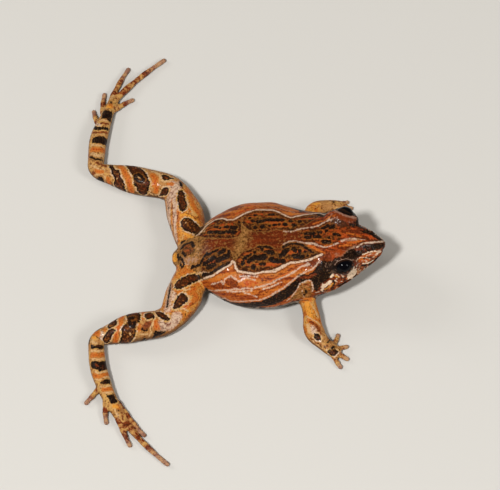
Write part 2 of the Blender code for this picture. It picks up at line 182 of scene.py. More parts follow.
@dataclass(frozen=True)
class TrunkForm:
    """The trunk and head as one form: cross-sections along x from four curves."""

    half_width: Curve = Curve(
        (-0.25, 0.7), (0.3, 1.25), (1.6, 2.1), (3.0, 3.4), (4.2, 4.55), (5.6, 5.55), (7.3, 6.45),
        (9.2, 7.0), (11.5, 7.05), (13.8, 6.35), (16.0, 5.6), (17.6, 5.3), (19.4, 4.75), (21.2, 3.75),
        (22.4, 3.0), (23.6, 2.15), (24.5, 1.45), (25.0, 0.95), (25.25, 0.4))
    back: Curve = Curve(
        (-0.25, 2.6), (0.3, 3.1), (1.6, 4.2), (3.0, 5.2), (5.0, 6.2), (8.0, 6.85), (12.0, 7.1),
        (14.5, 7.3), (17.0, 7.65), (20.0, 7.85), (22.0, 7.7), (23.5, 7.35), (24.6, 6.75),
        (25.25, 6.05))
    belly: Curve = Curve(
        (-0.25, 1.7), (0.3, 1.2), (1.6, 0.35), (3.0, -0.1), (5.0, -0.2), (13.5, -0.2), (15.5, -0.05),
        (17.0, 0.45), (18.5, 1.2), (20.5, 2.15), (22.5, 3.1), (24.2, 4.05), (25.0, 4.75),
        (25.25, 5.3))
    level: Curve = Curve(
        (-0.25, 2.1), (3.0, 2.8), (8.0, 3.2), (13.0, 3.2), (16.0, 3.3), (18.0, 3.65), (20.0, 4.0),
        (22.0, 4.45), (24.0, 4.9), (25.25, 5.6))
    back_fullness: float = 2.15
    belly_fullness: float = 2.4
    start: float = -0.25
    end: float = 25.25
    sides: int = 96
    stations: int = 110
    snout_crowding: float = 1.35

    def point(self, x: Any, angle: Any) -> np.ndarray:
        """Return the surface at x and an angle, 0 at the left side and 90 degrees on the back."""
        side, rise = np.cos(angle), np.sin(angle)
        power = 2.0 / np.where(rise >= 0.0, self.back_fullness, self.belly_fullness)
        level = self.level.at(x)
        reach = np.where(rise >= 0.0, self.back.at(x) - level, level - self.belly.at(x))
        y = np.sign(side) * np.abs(side) ** power * self.half_width.at(x)
        z = level + np.sign(rise) * np.abs(rise) ** power * reach
        return np.stack([x + 0.0 * y, y, z], axis=-1)

    def build(self, shells: Shells) -> None:
        """Add the form to the shells, with its rings closer together at the snout."""
        turn = 2.0 * np.pi * np.arange(self.sides) / self.sides
        share = 1.0 - (1.0 - np.linspace(0.0, 1.0, self.stations)) ** self.snout_crowding
        shells.loft([self.point(x, turn) for x in self.start + (self.end - self.start) * share])

    def locate(self, points: np.ndarray) -> Places:
        """Tell where points lie on the trunk.

        Args:
            points: The points.

        Returns:
            Their places.
        """
        x = np.clip(points[:, 0], self.start, self.end)
        level, width = self.level.at(x), self.half_width.at(x)
        above = points[:, 2] >= level
        reach = np.where(above, self.back.at(x) - level, level - self.belly.at(x))
        power = np.where(above, self.back_fullness, self.belly_fullness) / 2.0
        side = (np.abs(points[:, 1]) / width) ** power
        rise = (np.abs(points[:, 2] - level) / reach) ** power
        angle = np.where(above, 1.0, -1.0) * np.arctan2(rise, side)
        share = np.hypot(side, rise) ** (1.0 / power)
        gap = (share - 1.0) * np.minimum(width, reach) + np.maximum(np.abs(points[:, 0] - x), 0.0)
        girth = self.way_from_top(x, angle) * np.sign(points[:, 1])
        return Places(x, girth, gap)

    def way_from_top(self, x: np.ndarray, angle: np.ndarray) -> np.ndarray:
        """Return the way over the section from the middle of the back down to an angle."""
        stations = np.linspace(self.start, self.end, 256)
        angles = np.linspace(np.pi / 2, -np.pi / 2, 181)
        grid = self.point(stations[:, None], angles[None, :])
        steps = np.linalg.norm(np.diff(grid[..., 1:], axis=1), axis=2)
        way = np.concatenate((np.zeros((len(stations), 1)), np.cumsum(steps, axis=1)), axis=1)
        a = (x - self.start) / (self.end - self.start) * (len(stations) - 1)
        b = (np.pi / 2 - angle) / np.pi * (len(angles) - 1)
        i = np.clip(a.astype(int), 0, len(stations) - 2)
        j = np.clip(b.astype(int), 0, len(angles) - 2)
        p, q = a - i, b - j
        near = way[i, j] * (1 - q) + way[i, j + 1] * q
        far = way[i + 1, j] * (1 - q) + way[i + 1, j + 1] * q
        return near * (1 - p) + far * p


class TubeForm:
    """A tapered tube along a path: the base of the limbs and digits."""

    reach = 2.5
    share = 1.0
    step_length = 0.12
    cap_tilts = (0.0, 25.0, 50.0, 72.0, 86.0)

    def __init__(self, path: np.ndarray, wide: Curve, tall: Curve, sides: int) -> None:
        """Read the path by distance and set a frame at each step of it.

        Args:
            path: Points along the middle line.
            wide: Half width by distance.
            tall: Half height by distance.
            sides: Points in a ring.
        """
        steps = np.linalg.norm(np.diff(path, axis=0), axis=1)
        distance = np.concatenate(([0.0], np.cumsum(steps)))
        self.length = float(distance[-1])
        self.run = np.linspace(0.0, self.length, max(8, int(self.length / self.step_length)) + 1)
        self.centre = np.stack([np.interp(self.run, distance, path[:, k]) for k in range(3)], axis=1)
        ahead = np.gradient(self.centre, axis=0)
        kernel = np.ones(5) / 5.0
        padded = np.pad(ahead, ((2, 2), (0, 0)), mode="edge")
        ahead = np.stack([np.convolve(padded[:, k], kernel, "valid") for k in range(3)], axis=1)
        self.ahead = unit(ahead)
        self.across = unit(np.cross((0.0, 0.0, 1.0), self.ahead))
        self.upward = np.cross(self.ahead, self.across)
        self.wide, self.tall, self.sides = wide.at(self.run), tall.at(self.run), sides

    def build(self, shells: Shells) -> None:
        """Add the tube to the shells, with a round end."""
        turn = 2.0 * np.pi * (np.arange(self.sides) + 0.5) / self.sides
        rings = []
        for k in range(0, len(self.run), 2):
            rings.append(self.ring(k, turn, 1.0, 0.0))
        last, size = len(self.run) - 1, min(self.wide[-1], self.tall[-1])
        for tilt in np.radians(self.cap_tilts):
            rings.append(self.ring(last, turn, math.cos(tilt), size * math.sin(tilt)))
        shells.loft(rings)

    def ring(self, k: int, turn: np.ndarray, size: float, onward: float) -> np.ndarray:
        """Return the oval ring at step k, made smaller and moved onward."""
        side = np.outer(np.cos(turn) * self.wide[k] * size, self.across[k])
        rise = np.outer(np.sin(turn) * self.tall[k] * size, self.upward[k])
        return self.centre[k] + side + rise + self.ahead[k] * onward

    def locate(self, points: np.ndarray) -> Places:
        """Tell where points lie on the tube.

        Args:
            points: The points.

        Returns:
            Their places; points far from the tube get a wide gap and no true place.
        """
        places = Places(*(np.zeros(len(points)) for _ in range(3)))
        places.gap[:] = FAR_AWAY
        low = self.centre.min(axis=0) - self.reach - self.wide.max()
        high = self.centre.max(axis=0) + self.reach + self.wide.max()
        near = np.flatnonzero(np.all((points > low) & (points < high), axis=1))
        if not len(near):
            return places
        close = points[near]
        best = np.full(len(near), np.inf)
        step = np.zeros(len(near), dtype=int)
        for k, centre in enumerate(self.centre):
            away = np.sum((close - centre) ** 2, axis=1)
            step = np.where(away < best, k, step)
            best = np.minimum(away, best)
        offset = close - self.centre[step]
        side = np.sum(offset * self.across[step], axis=1) / self.wide[step]
        rise = np.sum(offset * self.upward[step], axis=1) / self.tall[step]
        on = np.sum(offset * self.ahead[step], axis=1)
        size = 0.5 * (self.wide[step] + self.tall[step])
        share = np.sqrt(side ** 2 + rise ** 2 + (on / size) ** 2)
        places.run[near] = self.run[step] + on
        places.girth[near] = np.arctan2(side, rise) * size
        places.gap[near] = (share - 1.0) * np.minimum(self.wide[step], self.tall[step])
        return places


class Limb(TubeForm):
    """A leg or arm along a path with rounded corners."""

    bend_steps = 12

    def __init__(self, points: Points, sides: int = 40) -> None:
        """Round the corners and read the sizes at them.

        Args:
            points: (x, y, z, half width, half height, rounding), from root to end.
            sides: Points in a ring.
        """
        corners = np.array([p[:3] for p in points])
        path = [corners[0]]
        marks = [0]
        for k in range(1, len(corners) - 1):
            enter = corners[k] + unit(corners[k - 1] - corners[k]) * points[k][5]
            leave = corners[k] + unit(corners[k + 1] - corners[k]) * points[k][5]
            marks.append(len(path) + self.bend_steps // 2)
            for t in np.linspace(0.0, 1.0, self.bend_steps + 1):
                path.append(enter * (1 - t) ** 2 + corners[k] * 2 * t * (1 - t) + leave * t * t)
        path.append(corners[-1])
        marks.append(len(path) - 1)
        steps = np.linalg.norm(np.diff(np.array(path), axis=0), axis=1)
        distance = np.concatenate(([0.0], np.cumsum(steps)))
        self.corner = [float(distance[m]) for m in marks]
        wide = Curve(*zip(self.corner, (p[3] for p in points)))
        tall = Curve(*zip(self.corner, (p[4] for p in points)))
        super().__init__(np.array(path), wide, tall, sides)


class Digit(TubeForm):
    """A toe or finger on the floor, swollen a little at its joints."""

    tip_radius = 0.27
    swell = 0.09
    joints = 3
    root_rise = 0.25
    bend_rise = 0.95

    def __init__(self, root: Sequence[float], bend: Sequence[float], tip: Sequence[float],
                 radius: float) -> None:
        """Bend the digit at its middle.

        Args:
            root: Where it leaves the hand or foot, as (x, y).
            bend: Its middle.
            tip: Its tip.
            radius: Its radius at the root.
        """
        rises = (radius + self.root_rise, radius * self.bend_rise, self.tip_radius)
        a, b, c = (np.array((*p, rise)) for p, rise in zip((root, bend, tip), rises))
        t = np.linspace(0.0, 1.0, 33)[:, None]
        path = a * (1 - t) ** 2 + b * 2 * t * (1 - t) + c * t * t
        length = float(np.sum(np.linalg.norm(np.diff(path, axis=0), axis=1)))
        stations = np.linspace(0.0, 1.0, 19)
        size = radius + (self.tip_radius - radius) * stations
        size *= 1.0 + self.swell * np.cos(2.0 * np.pi * stations * self.joints)
        sizes = Curve(*zip(stations * length, size))
        super().__init__(path, sizes, sizes, 20)


@dataclass(frozen=True)
class EyeSite:
    """Where the eyes and their lids sit; the left one, with the right one its mirror image."""

    ball: tuple[float, float, float] = (20.35, 3.3, 6.85)
    ball_radii: tuple[float, float, float] = (1.35, 1.3, 1.25)
    lid: tuple[float, float, float] = (20.0, 2.75, 6.6)
    lid_radii: tuple[float, float, float] = (2.2, 1.65, 1.7)
    gaze: tuple[float, float, float] = (0.20, 0.68, 0.70)
    turn: float = 0.10
    opening_left: tuple[float, float] = (0.86, 0.84)
    opening_right: tuple[float, float] = (0.76, 0.60)
    slant: float = math.radians(16.0)

    def centre(self, side: int) -> np.ndarray:
        """Return the ball's centre on the left (1) or right (-1)."""
        return np.array(self.ball) * (1, side, 1)

    def mound(self, side: int) -> np.ndarray:
        """Return the centre of the lid mound on the left (1) or right (-1)."""
        return np.array(self.lid) * (1, side, 1)

    def opening(self, side: int) -> tuple[float, float]:
        """Return how long and high the opening between the lids is, in ball radii."""
        return self.opening_left if side > 0 else self.opening_right

    def forward(self, side: int) -> np.ndarray:
        """Return the way that the pupil faces."""
        return unit(np.array(self.gaze) * (1, side, 1) + (self.turn * side, 0.0, 0.0))

    def axes(self, side: int) -> tuple[np.ndarray, np.ndarray, np.ndarray]:
        """Return the ways ahead, level and upward of one eye."""
        ahead = self.forward(side)
        level = unit(np.cross((0.0, 0.0, 1.0), ahead))
        level = level * math.cos(self.slant) - np.cross(ahead, level) * math.sin(self.slant) * side
        return ahead, level, np.cross(ahead, level)


@dataclass(frozen=True)
class View:
    """The photograph's viewing angle: the camera and the rays of its pixels."""

    azimuth: float = math.radians(1.5)
    elevation: float = math.radians(58.0)
    look: tuple[float, float, float] = (9.09, 3.41, 0.0)
    distance: float = 453.9
    lens: float = 268.9
    sensor: float = 36.0
    picture: tuple[int, int] = (500, 490)
    clip_start: float = 0.01

    def back(self) -> np.ndarray:
        """Return the way from the animal to the camera."""
        level = math.cos(self.elevation)
        return np.array((math.sin(self.azimuth) * level, -math.cos(self.azimuth) * level,
                         math.sin(self.elevation)))

    def eye(self) -> np.ndarray:
        """Return the camera's place."""
        return np.array(self.look) + self.back() * self.distance

    def ray(self, pixel: Sequence[float]) -> np.ndarray:
        """Return the direction from the camera through a pixel of the photograph."""
        right = np.array((math.cos(self.azimuth), math.sin(self.azimuth), 0.0))
        up = np.cross(self.back(), right)
        focus = self.lens / self.sensor * self.picture[0]
        x = (pixel[0] - self.picture[0] / 2) / focus
        y = (self.picture[1] / 2 - pixel[1]) / focus
        return unit(right * x + up * y - self.back())

    def camera(self) -> None:
        """Create the scene's camera."""
        data = bpy.data.cameras.new("camera")
        data.lens = self.lens
        data.sensor_width = self.sensor
        data.clip_start = self.clip_start
        item = bpy.data.objects.new("camera", data)
        item.location = Vector((self.eye() - MIDDLE) * MM)
        item.rotation_euler = Vector(self.back()).to_track_quat("Z", "Y").to_euler()
        bpy.context.scene.collection.objects.link(item)
        bpy.context.scene.camera = item


class Layer(Enum):
    """The layers of the pattern, each stored on the skin as a distance to its marks."""

    LINE = "line"
    THIN = "thin"
    PANEL = "panel"
    LENS = "lens"
    BAND = "band"
    SPOT = "spot"
    RING = "ring"
    WINE = "wine"
    FIRE = "fire"
    EMBER = "ember"
    PALE = "pale"
    SAND = "sand"
    ASH = "ash"
    GOLD = "gold"


@dataclass(frozen=True)
class Mark:
    """One mark of the pattern: a stroke along its points, or the patch that they close.

    Attributes:
        layer: The layer that it belongs to.
        width: Half the width of a stroke, in pixels; on a patch, how far it reaches out.
        points: Its points, in pixels of the photograph.
        closed: Whether the points close a patch.
        mirrored: Whether the other side of the animal has it too.
    """

    layer: Layer
    width: float
    points: Points
    closed: bool
    mirrored: bool


def area(rows: dict[Layer, tuple[Any, ...]], mirrored: bool = False) -> tuple[Mark, ...]:
    """Return the marks of one area.

    Args:
        rows: The rows of each layer. A row that starts with a width is a stroke through the
            points after it, and a row of points alone is the patch that they close.
        mirrored: Whether the other side of the animal has them too.

    Returns:
        The marks.
    """
    marks = []
    for layer, group in rows.items():
        for row in group:
            closed = isinstance(row[0], tuple)
            width, points = (0.0, row) if closed else (row[0], row[1:])
            marks.append(Mark(layer, width, points, closed, mirrored))
    return tuple(marks)


OUTER_LEFT = (
    (200, 234), (208, 225), (215, 220.5), (222.5, 218.7), (227.5, 220.6), (233, 220.3), (239, 217.2),
    (247, 213), (256, 210.3), (264, 210.4), (273, 210.8), (279, 213), (286, 216.4), (291, 218.3),
    (300, 216), (310, 214.4), (320, 213.6), (328, 213))
OUTER_RIGHT = (
    (204.5, 278), (213, 275.4), (220.5, 270.6), (226, 267.4), (230.5, 265), (232.5, 261.5),
    (234.8, 263), (236, 268.5), (238.5, 271.3), (245, 272.7), (254, 273.9), (263, 272.2),
    (272, 271.6), (278, 270), (284, 266.4), (290, 262.8), (297, 262.3), (304, 260.9), (311, 259.2),
    (318, 256), (322, 254.5))
BACK_LINES = area({
    Layer.LINE: (
        (0.8, *OUTER_LEFT), (0.9, *OUTER_RIGHT), (1.5, (274, 271.2), (279, 269), (284, 266)),
        (0.7, (356.6, 247.4), (360, 245), (363.6, 243.2), (370.6, 242.9), (377, 242.2), (383, 241.6)),
    ),
    Layer.THIN: (
        (0.6, (284, 231.4), (290, 231.8), (295.5, 230.6), (300, 229.2), (305, 228.3)),
        (0.6, (283.5, 244), (289, 241.6), (295, 240.9), (301, 242.4), (307.5, 243.4)),
        (0.6, (305, 228.3), (313, 227.3), (318, 225.9), (323, 223), (327, 220.8)),
        (0.3, (327, 220.8), (332, 219.3), (337, 217.4)),
        (0.8, (307.5, 243.4), (314.5, 243.7), (318.8, 246), (323.7, 247.4)),
        (0.5, (323.7, 247.4), (329.3, 246.7), (334, 244.8), (338, 243.2)),
        (0.8, (341.2, 241.3), (344, 240.6)), (0.3, (346, 239.2), (350, 238.5), (360, 239.5), (367, 239.9)),
    ),
})
FLANK_LINES = area({
    Layer.THIN: (
        (0.6, (212, 284.2), (217, 282.7), (222.2, 280.8), (223.7, 283.8), (224.8, 279.2), (230.6, 275.8),
         (235.2, 278.5), (239, 281.9), (242.1, 279.2), (247.4, 278.1), (255, 280)),
        (0.8, (208.4, 290), (220.6, 290), (230, 290), (234.4, 288.8), (240, 289.4), (247.4, 288),
         (252.8, 288.8), (256, 286.9), (262.7, 286.1), (270.4, 283.8), (276.5, 280), (285.7, 276.2),
         (293.4, 272.3), (301, 266.8), (309, 264)),
        (0.6, (242, 289.6), (245, 293), (251.3, 294.8), (257, 297)),
        (0.7, (219, 297.6), (225, 297.8), (230, 300.2), (238, 301.2), (247, 301), (259, 300.2), (269, 296),
         (278, 291), (283.5, 288), (289.5, 283), (297, 277), (303, 273), (312, 269.5), (316, 265.5),
         (320, 260.5)),
        (0.7, (240, 276.4), (250, 276.6), (258, 276)),
    ),
    Layer.ASH: ((0.3, (228, 212), (240, 207.4), (252, 205.6), (266, 206), (280, 208.6), (294, 212.4)),),
    Layer.WINE: (
        (0.6, (262, 281), (272, 279), (283, 274), (291, 270)),
        (0.5, (262, 277.5), (275, 276), (288, 270.5), (298, 266)),
        (1.6, (224, 213), (234, 209), (243, 206.6)), (0.9, (262, 206), (275, 207.5), (288, 212)),
        (0.6, (246, 209), (258, 207), (270, 208.6), (282, 212)),
        (0.8, (232, 296), (245, 297), (258, 294.6)), (0.7, (260, 292), (272, 288.4), (283, 283)),
        (0.5, (226, 289), (240, 286.6)),
    ),
    Layer.EMBER: (
        (1.2, (236, 213.6), (246, 210.4), (256, 208.6)), (1.2, (284, 252), (296, 251.6), (305, 250.6)),
        (0.8, (308, 236), (316, 237), (322, 235)), (0.8, (322, 231), (330, 233), (336, 236)),
    ),
    Layer.BAND: ((0.8, (284, 205.2), (293, 206.8), (303, 209.2)),),
    Layer.FIRE: ((1.2, (268, 281.4), (278, 277.6), (288, 272.6)),),
    Layer.PALE: (
        (0.5, (226, 291.6), (240, 291.4), (252, 290.8)), (0.5, (262, 289.4), (272, 286.6), (282, 281.6)),
    ),
})
FLANK_MARKS = area({
    Layer.WINE: (
        ((225.5, 282), (227, 278.5), (231, 276.5), (235, 278.5), (237.5, 281.5), (239, 285), (235, 287),
         (228, 286)),
        ((213, 286), (217, 283), (221, 281.6), (223.4, 283), (224.6, 286), (230, 287), (239, 287.6),
         (238, 288.6), (230, 288.6), (214, 288.6)),
        (0.8, (222, 293.8), (233, 294.6), (240, 293)), (0.6, (238, 298.8), (245, 299)),
    ),
    Layer.FIRE: (
        ((241.6, 283), (243.4, 280.8), (248, 279.8), (254, 280.8), (259, 281.8), (261, 283.4), (256, 285),
         (248, 286.6), (242, 286.2)),
    ),
}, mirrored=True)
PANELS = area({
    Layer.PANEL: (
        ((200.5, 275.5), (202, 266), (203.5, 259), (207, 254.5), (213, 251), (220, 247.8), (227, 248.5),
         (231, 252), (232.5, 258), (231, 262.5), (226, 266), (218, 271), (210, 275.5), (205, 277)),
        ((236.8, 266), (236.2, 261), (238.5, 257), (243, 252.5), (250, 249.5), (258, 246.5), (266, 246),
         (272, 248), (278, 250.2), (281, 248.5), (284.5, 245.5), (290, 243.8), (297, 243.4), (303, 245),
         (308, 249), (313, 252), (318, 254.5), (313, 257.6), (306, 259.8), (299, 261.2), (290, 261.6),
         (284, 265), (277, 268.8), (268, 270.4), (258, 272), (247, 271.8), (240, 270)),
        ((197, 236), (201, 230), (208, 224.5), (216, 220.6), (222, 219.6), (227, 221.8), (233, 221.6),
         (238, 219.5), (241, 225), (241, 232), (238, 237), (225, 238), (208, 238), (203, 237)),
        ((243, 219), (248, 214.2), (256, 211.6), (264, 211.6), (272, 212), (279, 214.6), (286, 218),
         (291, 219.6), (299, 218), (306, 216.6), (314, 215.8), (321, 215), (314, 219.5), (306, 223.8),
         (299, 228.5), (292, 231.5), (286, 230), (276, 229.5), (264, 231), (254, 231), (247, 228),
         (243, 224)),
    ),
    Layer.LENS: (
        ((299.6, 236), (301.4, 231.6), (305.5, 229.4), (313, 228.5), (318.5, 227), (323.5, 224),
         (328, 221.8), (334, 220), (340, 219), (346, 222), (349, 227), (345, 231), (341, 234), (343, 237),
         (338, 240.5), (334, 243.5), (328, 245.5), (323, 246.2), (318.5, 244.6), (314.5, 242.6),
         (308, 242.2), (301.5, 240.6)),
    ),
})
BACK_SPOTS = area({
    Layer.SPOT: (
        (2.0, (205.5, 263.5), (214, 257.8)), (2.3, (218, 260.3), (227, 256.3)),
        (2.2, (209, 266.8), (213.5, 265)), (1.8, (219.5, 253), (223.8, 250.4)),
        (0.9, (228.8, 251), (229.4, 255)), (0.8, (207.2, 255.1), (213, 252.2), (217.5, 250)),
        (1.5, (204, 274.5), (210, 274.3), (219, 269), (229, 263.5)), (1.4, (243.8, 259.2), (247, 256.4)),
        (2.0, (249, 261.3), (255.5, 256.8)), (2.6, (258.8, 257.8), (264.2, 256.5)),
        (2.0, (269, 251.8), (272.6, 253)), (1.2, (265.8, 251.7)), (0.9, (262, 249.7)),
        (1.0, (254.7, 252.4)), (0.8, (250.5, 254.3)), (1.4, (242.8, 262.2), (242.8, 264)),
        (1.6, (253.2, 266), (253.4, 267.6)), (1.2, (260.8, 264.3), (264, 264.3)),
        (2.1, (271.5, 259.3), (275.8, 260.8), (283, 261.2)), (2.2, (281.3, 255.3), (287.2, 250.4)),
        (1.8, (293.4, 249), (295, 250.5)), (1.9, (294.2, 256), (302.3, 257)), (1.6, (299.8, 251.1)),
        (1.0, (305.1, 251.8)), (0.9, (307.5, 255.7)),
        (0.6, (283, 247.4), (288, 244.2), (295, 243.6), (302, 245), (308, 249.4), (313, 252.2)),
        (0.5, (258, 247), (266, 246.6), (272, 248.6)), (1.7, (209, 232.5), (224, 232.4)),
        (1.6, (227.3, 231.6), (234.8, 232.4)), (1.1, (215, 227.3), (217.8, 227.2)), (0.9, (220.2, 228.3)),
        (1.4, (225, 227.2), (227.5, 227.2)), (1.6, (231.8, 227.8), (235.5, 227.8)), (0.8, (239, 222.2)),
        (1.1, (243.6, 222.6)), (1.6, (257.8, 221.7), (266.6, 220.4), (283, 220.3)), (1.7, (254.7, 227.5)),
        (2.1, (262.4, 226.8)), (1.0, (269.6, 226)), (1.5, (274.6, 225.2)), (1.0, (279.6, 224.5)),
        (2.1, (285, 224.4)), (2.2, (293.8, 225.2)), (1.4, (252.8, 220.7)), (1.4, (255.5, 215.3)),
        (1.2, (270, 214.9), (273, 214.9)), (1.1, (249.7, 218)), (1.5, (290.5, 221.4)),
        (1.6, (299.6, 221.6)), (1.2, (305.5, 233.6), (313.8, 233.6)), (1.4, (305.6, 237.4), (310, 237.4)),
        (1.4, (314.6, 236.7), (319.4, 236.7)), (0.9, (318, 232.5), (321, 232.5)),
        (1.3, (322.8, 228.4), (328, 225.9)), (1.4, (330.6, 227.2), (333.2, 226.6)), (1.3, (326.5, 230.8)),
        (1.3, (334.5, 234.4), (339.8, 235.2)), (1.5, (323.2, 241.2), (329, 242.1)), (1.0, (329.3, 237.8)),
    ),
})
BAND = area({
    Layer.BAND: (
        ((220.6, 299.1), (225, 299), (230, 301.5), (237.5, 302.6), (248, 302.4), (259, 301.4),
         (269, 297.2), (278, 292.2), (284, 289.2), (290, 284), (297, 278), (298.4, 273.7), (303, 274.2),
         (309, 274.6), (313.8, 270.7), (316, 267.9), (319, 265), (321.6, 261.8), (324, 260.6),
         (327, 262.2), (331.5, 261.4), (335, 258.2), (339, 256.7), (344, 254.4), (350.3, 248.7),
         (356.6, 248.4), (363.6, 244.6), (370.6, 244.2), (383.5, 243), (383.4, 246.5), (380, 249.6),
         (372.7, 250.6), (367, 253.4), (360, 256), (355.2, 259.5), (353.5, 264.4), (352, 268.6),
         (346, 272.8), (339, 274.2), (333, 273.4), (330.7, 277), (325, 281.6), (321, 283.4),
         (319.4, 288.6), (316, 291.4), (313.6, 289), (313.2, 284.8), (311, 279.9), (306.8, 280.4),
         (301.2, 283.4), (297, 289), (288.8, 297.6), (281.9, 301.4), (272.7, 305.3), (258.9, 306.8),
         (247.4, 307.4), (232.1, 305.3)),
    ),
    Layer.WINE: (
        (1.6, (356, 249.4), (362, 248.4)), (0.8, (366, 250.4), (364, 248.8)),
        (1.4, (302, 277.4), (309, 277.4), (315, 274)),
    ),
}, mirrored=True)
SNOUT = area({
    Layer.EMBER: (
        ((367, 235.6), (372, 234.8), (378, 237), (383, 240.4), (378, 240.6), (370, 239)),
        ((336, 231), (341, 231.6), (347, 234.6), (348, 237.4), (342, 238), (337, 235)),
        (0.8, (356, 234), (364, 235), (370, 236)), (0.9, (330, 246.6), (336, 249), (341, 250)),
        (1.0, (326, 250), (331, 252.4), (333, 257)),
    ),
    Layer.FIRE: (
        (0.8, (347, 233.2), (353, 234.4), (361, 236.8)), (1.1, (348, 242.6), (354, 242.4), (361, 241)),
        (0.9, (340, 246), (346, 245), (351, 245.2)),
        (1.4, (309, 245.6), (314, 247.8), (319, 250.6), (324, 252.8)),
        (0.8, (313, 224), (320, 221.4), (328, 217.8), (335, 215.6)),
        (0.8, (314, 239.2), (321, 239.4), (330, 240)), (0.8, (325, 245.6), (332, 244.6)),
    ),
    Layer.WINE: ((1.2, (317, 247), (323, 249.6), (328, 252.6), (330.6, 257)),),
    Layer.ASH: (
        # painted highlights: the first two short pale strokes below are glints on the wet skin, not marks
        (0.5, (328.6, 252.6), (330, 253)), (0.5, (336, 254.4), (338, 255)),
        (1.5, (366, 230.4), (369, 231.6), (374, 233.6)), (0.7, (346, 239.4), (352, 239.6), (360, 240)),
        (0.5, (340, 257.6), (344.6, 254.6), (347, 251.6), (350.6, 248.8), (356, 246.6)),
    ),
    Layer.PALE: (
        (0.6, (384, 240.4), (381, 236.6), (378, 235.4)), (0.5, (375.5, 234.4), (380, 237), (383.6, 239.6)),
    ),
})
LIP_SPOTS = area({
    Layer.PALE: (
        (0.5, (337, 278.6)), (0.5, (341.6, 281.4)),
    ),
})
LIPS = area({
    Layer.FIRE: (
        ((359, 257.6), (365, 254.4), (371, 252.4), (378, 251.4), (380, 252.4), (376, 256), (368, 256.6),
         (361, 258.6)),
        (0.4, (364, 256.4), (371, 254)),
        ((357, 260), (362, 257.8), (368, 258.6), (371, 260.4), (366, 262.6), (359, 262.6)),
        (0.5, (356.4, 272.4), (358, 271)), (0.8, (341.6, 276), (344.4, 276.2)),
    ),
    Layer.PALE: (
        (0.45, (363, 254.8), (368, 252.6), (374, 251.2), (380.8, 250.8)),
        (0.8, (376, 254.8), (379, 252.4), (380.8, 251.4)), (0.25, (366, 255.8), (370, 254.6), (374, 254)),
        (0.25, (361, 260.8), (365, 260.4), (367, 261.4)),
        (0.3, (356.6, 261), (358, 258.8), (362, 257.2), (368, 258), (372.6, 260)),
        (0.7, (363, 263.8), (368, 263), (371.4, 261.8), (373, 260.6)),
        ((347, 279.6), (347.6, 274.4), (350.4, 270.8), (353.4, 268), (356.6, 268.2), (356.8, 271.6),
         (354.6, 275.4), (351, 279)),
        (0.8, (353.6, 267.6), (355.6, 270.6)), (1.1, (331.4, 277), (333.4, 274.6)),
        (0.9, (336.6, 274.8), (339, 276.4)), (0.7, (335.6, 280.6), (337.6, 281.6)),
        (0.7, (341, 274.4), (343, 277)), (0.5, (357, 266), (358.6, 263.6)),
        (0.5, (364, 268.8), (368, 267.6)),
        ((320.4, 290.6), (321, 286), (322.6, 283.2), (325.4, 284), (328.6, 280.8), (331, 280.4),
         (330, 283.6), (327, 286.4), (324, 288), (322.6, 291.6)),
        (1.3, (322, 288.6), (326, 285), (330.4, 281.6)), (0.7, (316, 292.4), (319, 291.6)),
    ),
    Layer.WINE: (
        (0.35, (362, 257.2), (367, 254.6), (372, 253.2)), (0.4, (359.6, 262), (364, 261.8)),
        (1.2, (354, 262), (357, 264), (359, 268)), (0.4, (350.4, 274.4), (352.8, 272.6)),
        (0.6, (339.6, 279.6), (343, 279)),
    ),
    Layer.BAND: (
        (0.9, (363.6, 258.6), (367, 257.4), (373, 258.2), (378, 256.6)),
        (1.2, (361.8, 265.2), (366, 265.8), (371, 264.8)), (0.7, (374.6, 260.4), (376.6, 258.8)),
        (0.4, (351, 279.4), (355, 277), (359, 274.6)), (0.6, (333.6, 279.6), (335, 283), (333, 285.6)),
        (0.5, (344.6, 272.6), (345.6, 276.6), (345, 280)),
        (0.5, (358.6, 270.4), (361, 268), (360.6, 265.6)), (0.7, (332, 287.4), (340, 285), (346, 282.2)),
    ),
    Layer.ASH: ((0.6, (361, 272), (366, 269.8), (372, 266)),),
    Layer.GOLD: (
        (0.5, (351, 269.6), (352.6, 268.2)), (1.0, (336, 276.4), (338.6, 277)),
        (0.7, (325.4, 289), (329, 287), (332.6, 283.8)),
    ),
}, mirrored=True)
RUMP = area({
    Layer.LENS: (
        ((182, 251), (184, 246), (188, 243.6), (193, 243), (193.5, 249), (190.5, 254.6), (185.5, 256.6),
         (182.4, 254)),
    ),
    Layer.SPOT: (
        (0.8, (181, 249), (184, 245), (188, 243.5), (192, 242.5), (193.5, 246.5)),
        (0.7, (182.5, 252.5), (185.5, 255.5)),
        (0.8, (180.5, 258), (183, 261), (184, 264.4), (182, 267.5), (180.6, 264.6)),
        (0.7, (177.5, 254.6), (178.8, 258.6)), (0.8, (181.5, 242.5), (184.5, 241)),
        (0.9, (192, 267.2), (196, 266.4), (200.5, 264.2)), (0.7, (200, 265.4), (203, 258), (207, 253.6)),
        (0.7, (196, 234.6), (203, 229.8), (208, 225.8)),
    ),
    Layer.ASH: ((2.0, (184, 259.4), (190, 261), (196, 259)),),
    Layer.SAND: (
        (5.0, (244, 226), (242, 240), (240, 250), (236, 257)), (9.0, (178, 250), (190, 252)),
    ),
    Layer.GOLD: ((2.8, (174.6, 255.4), (175, 259.6)),),
})
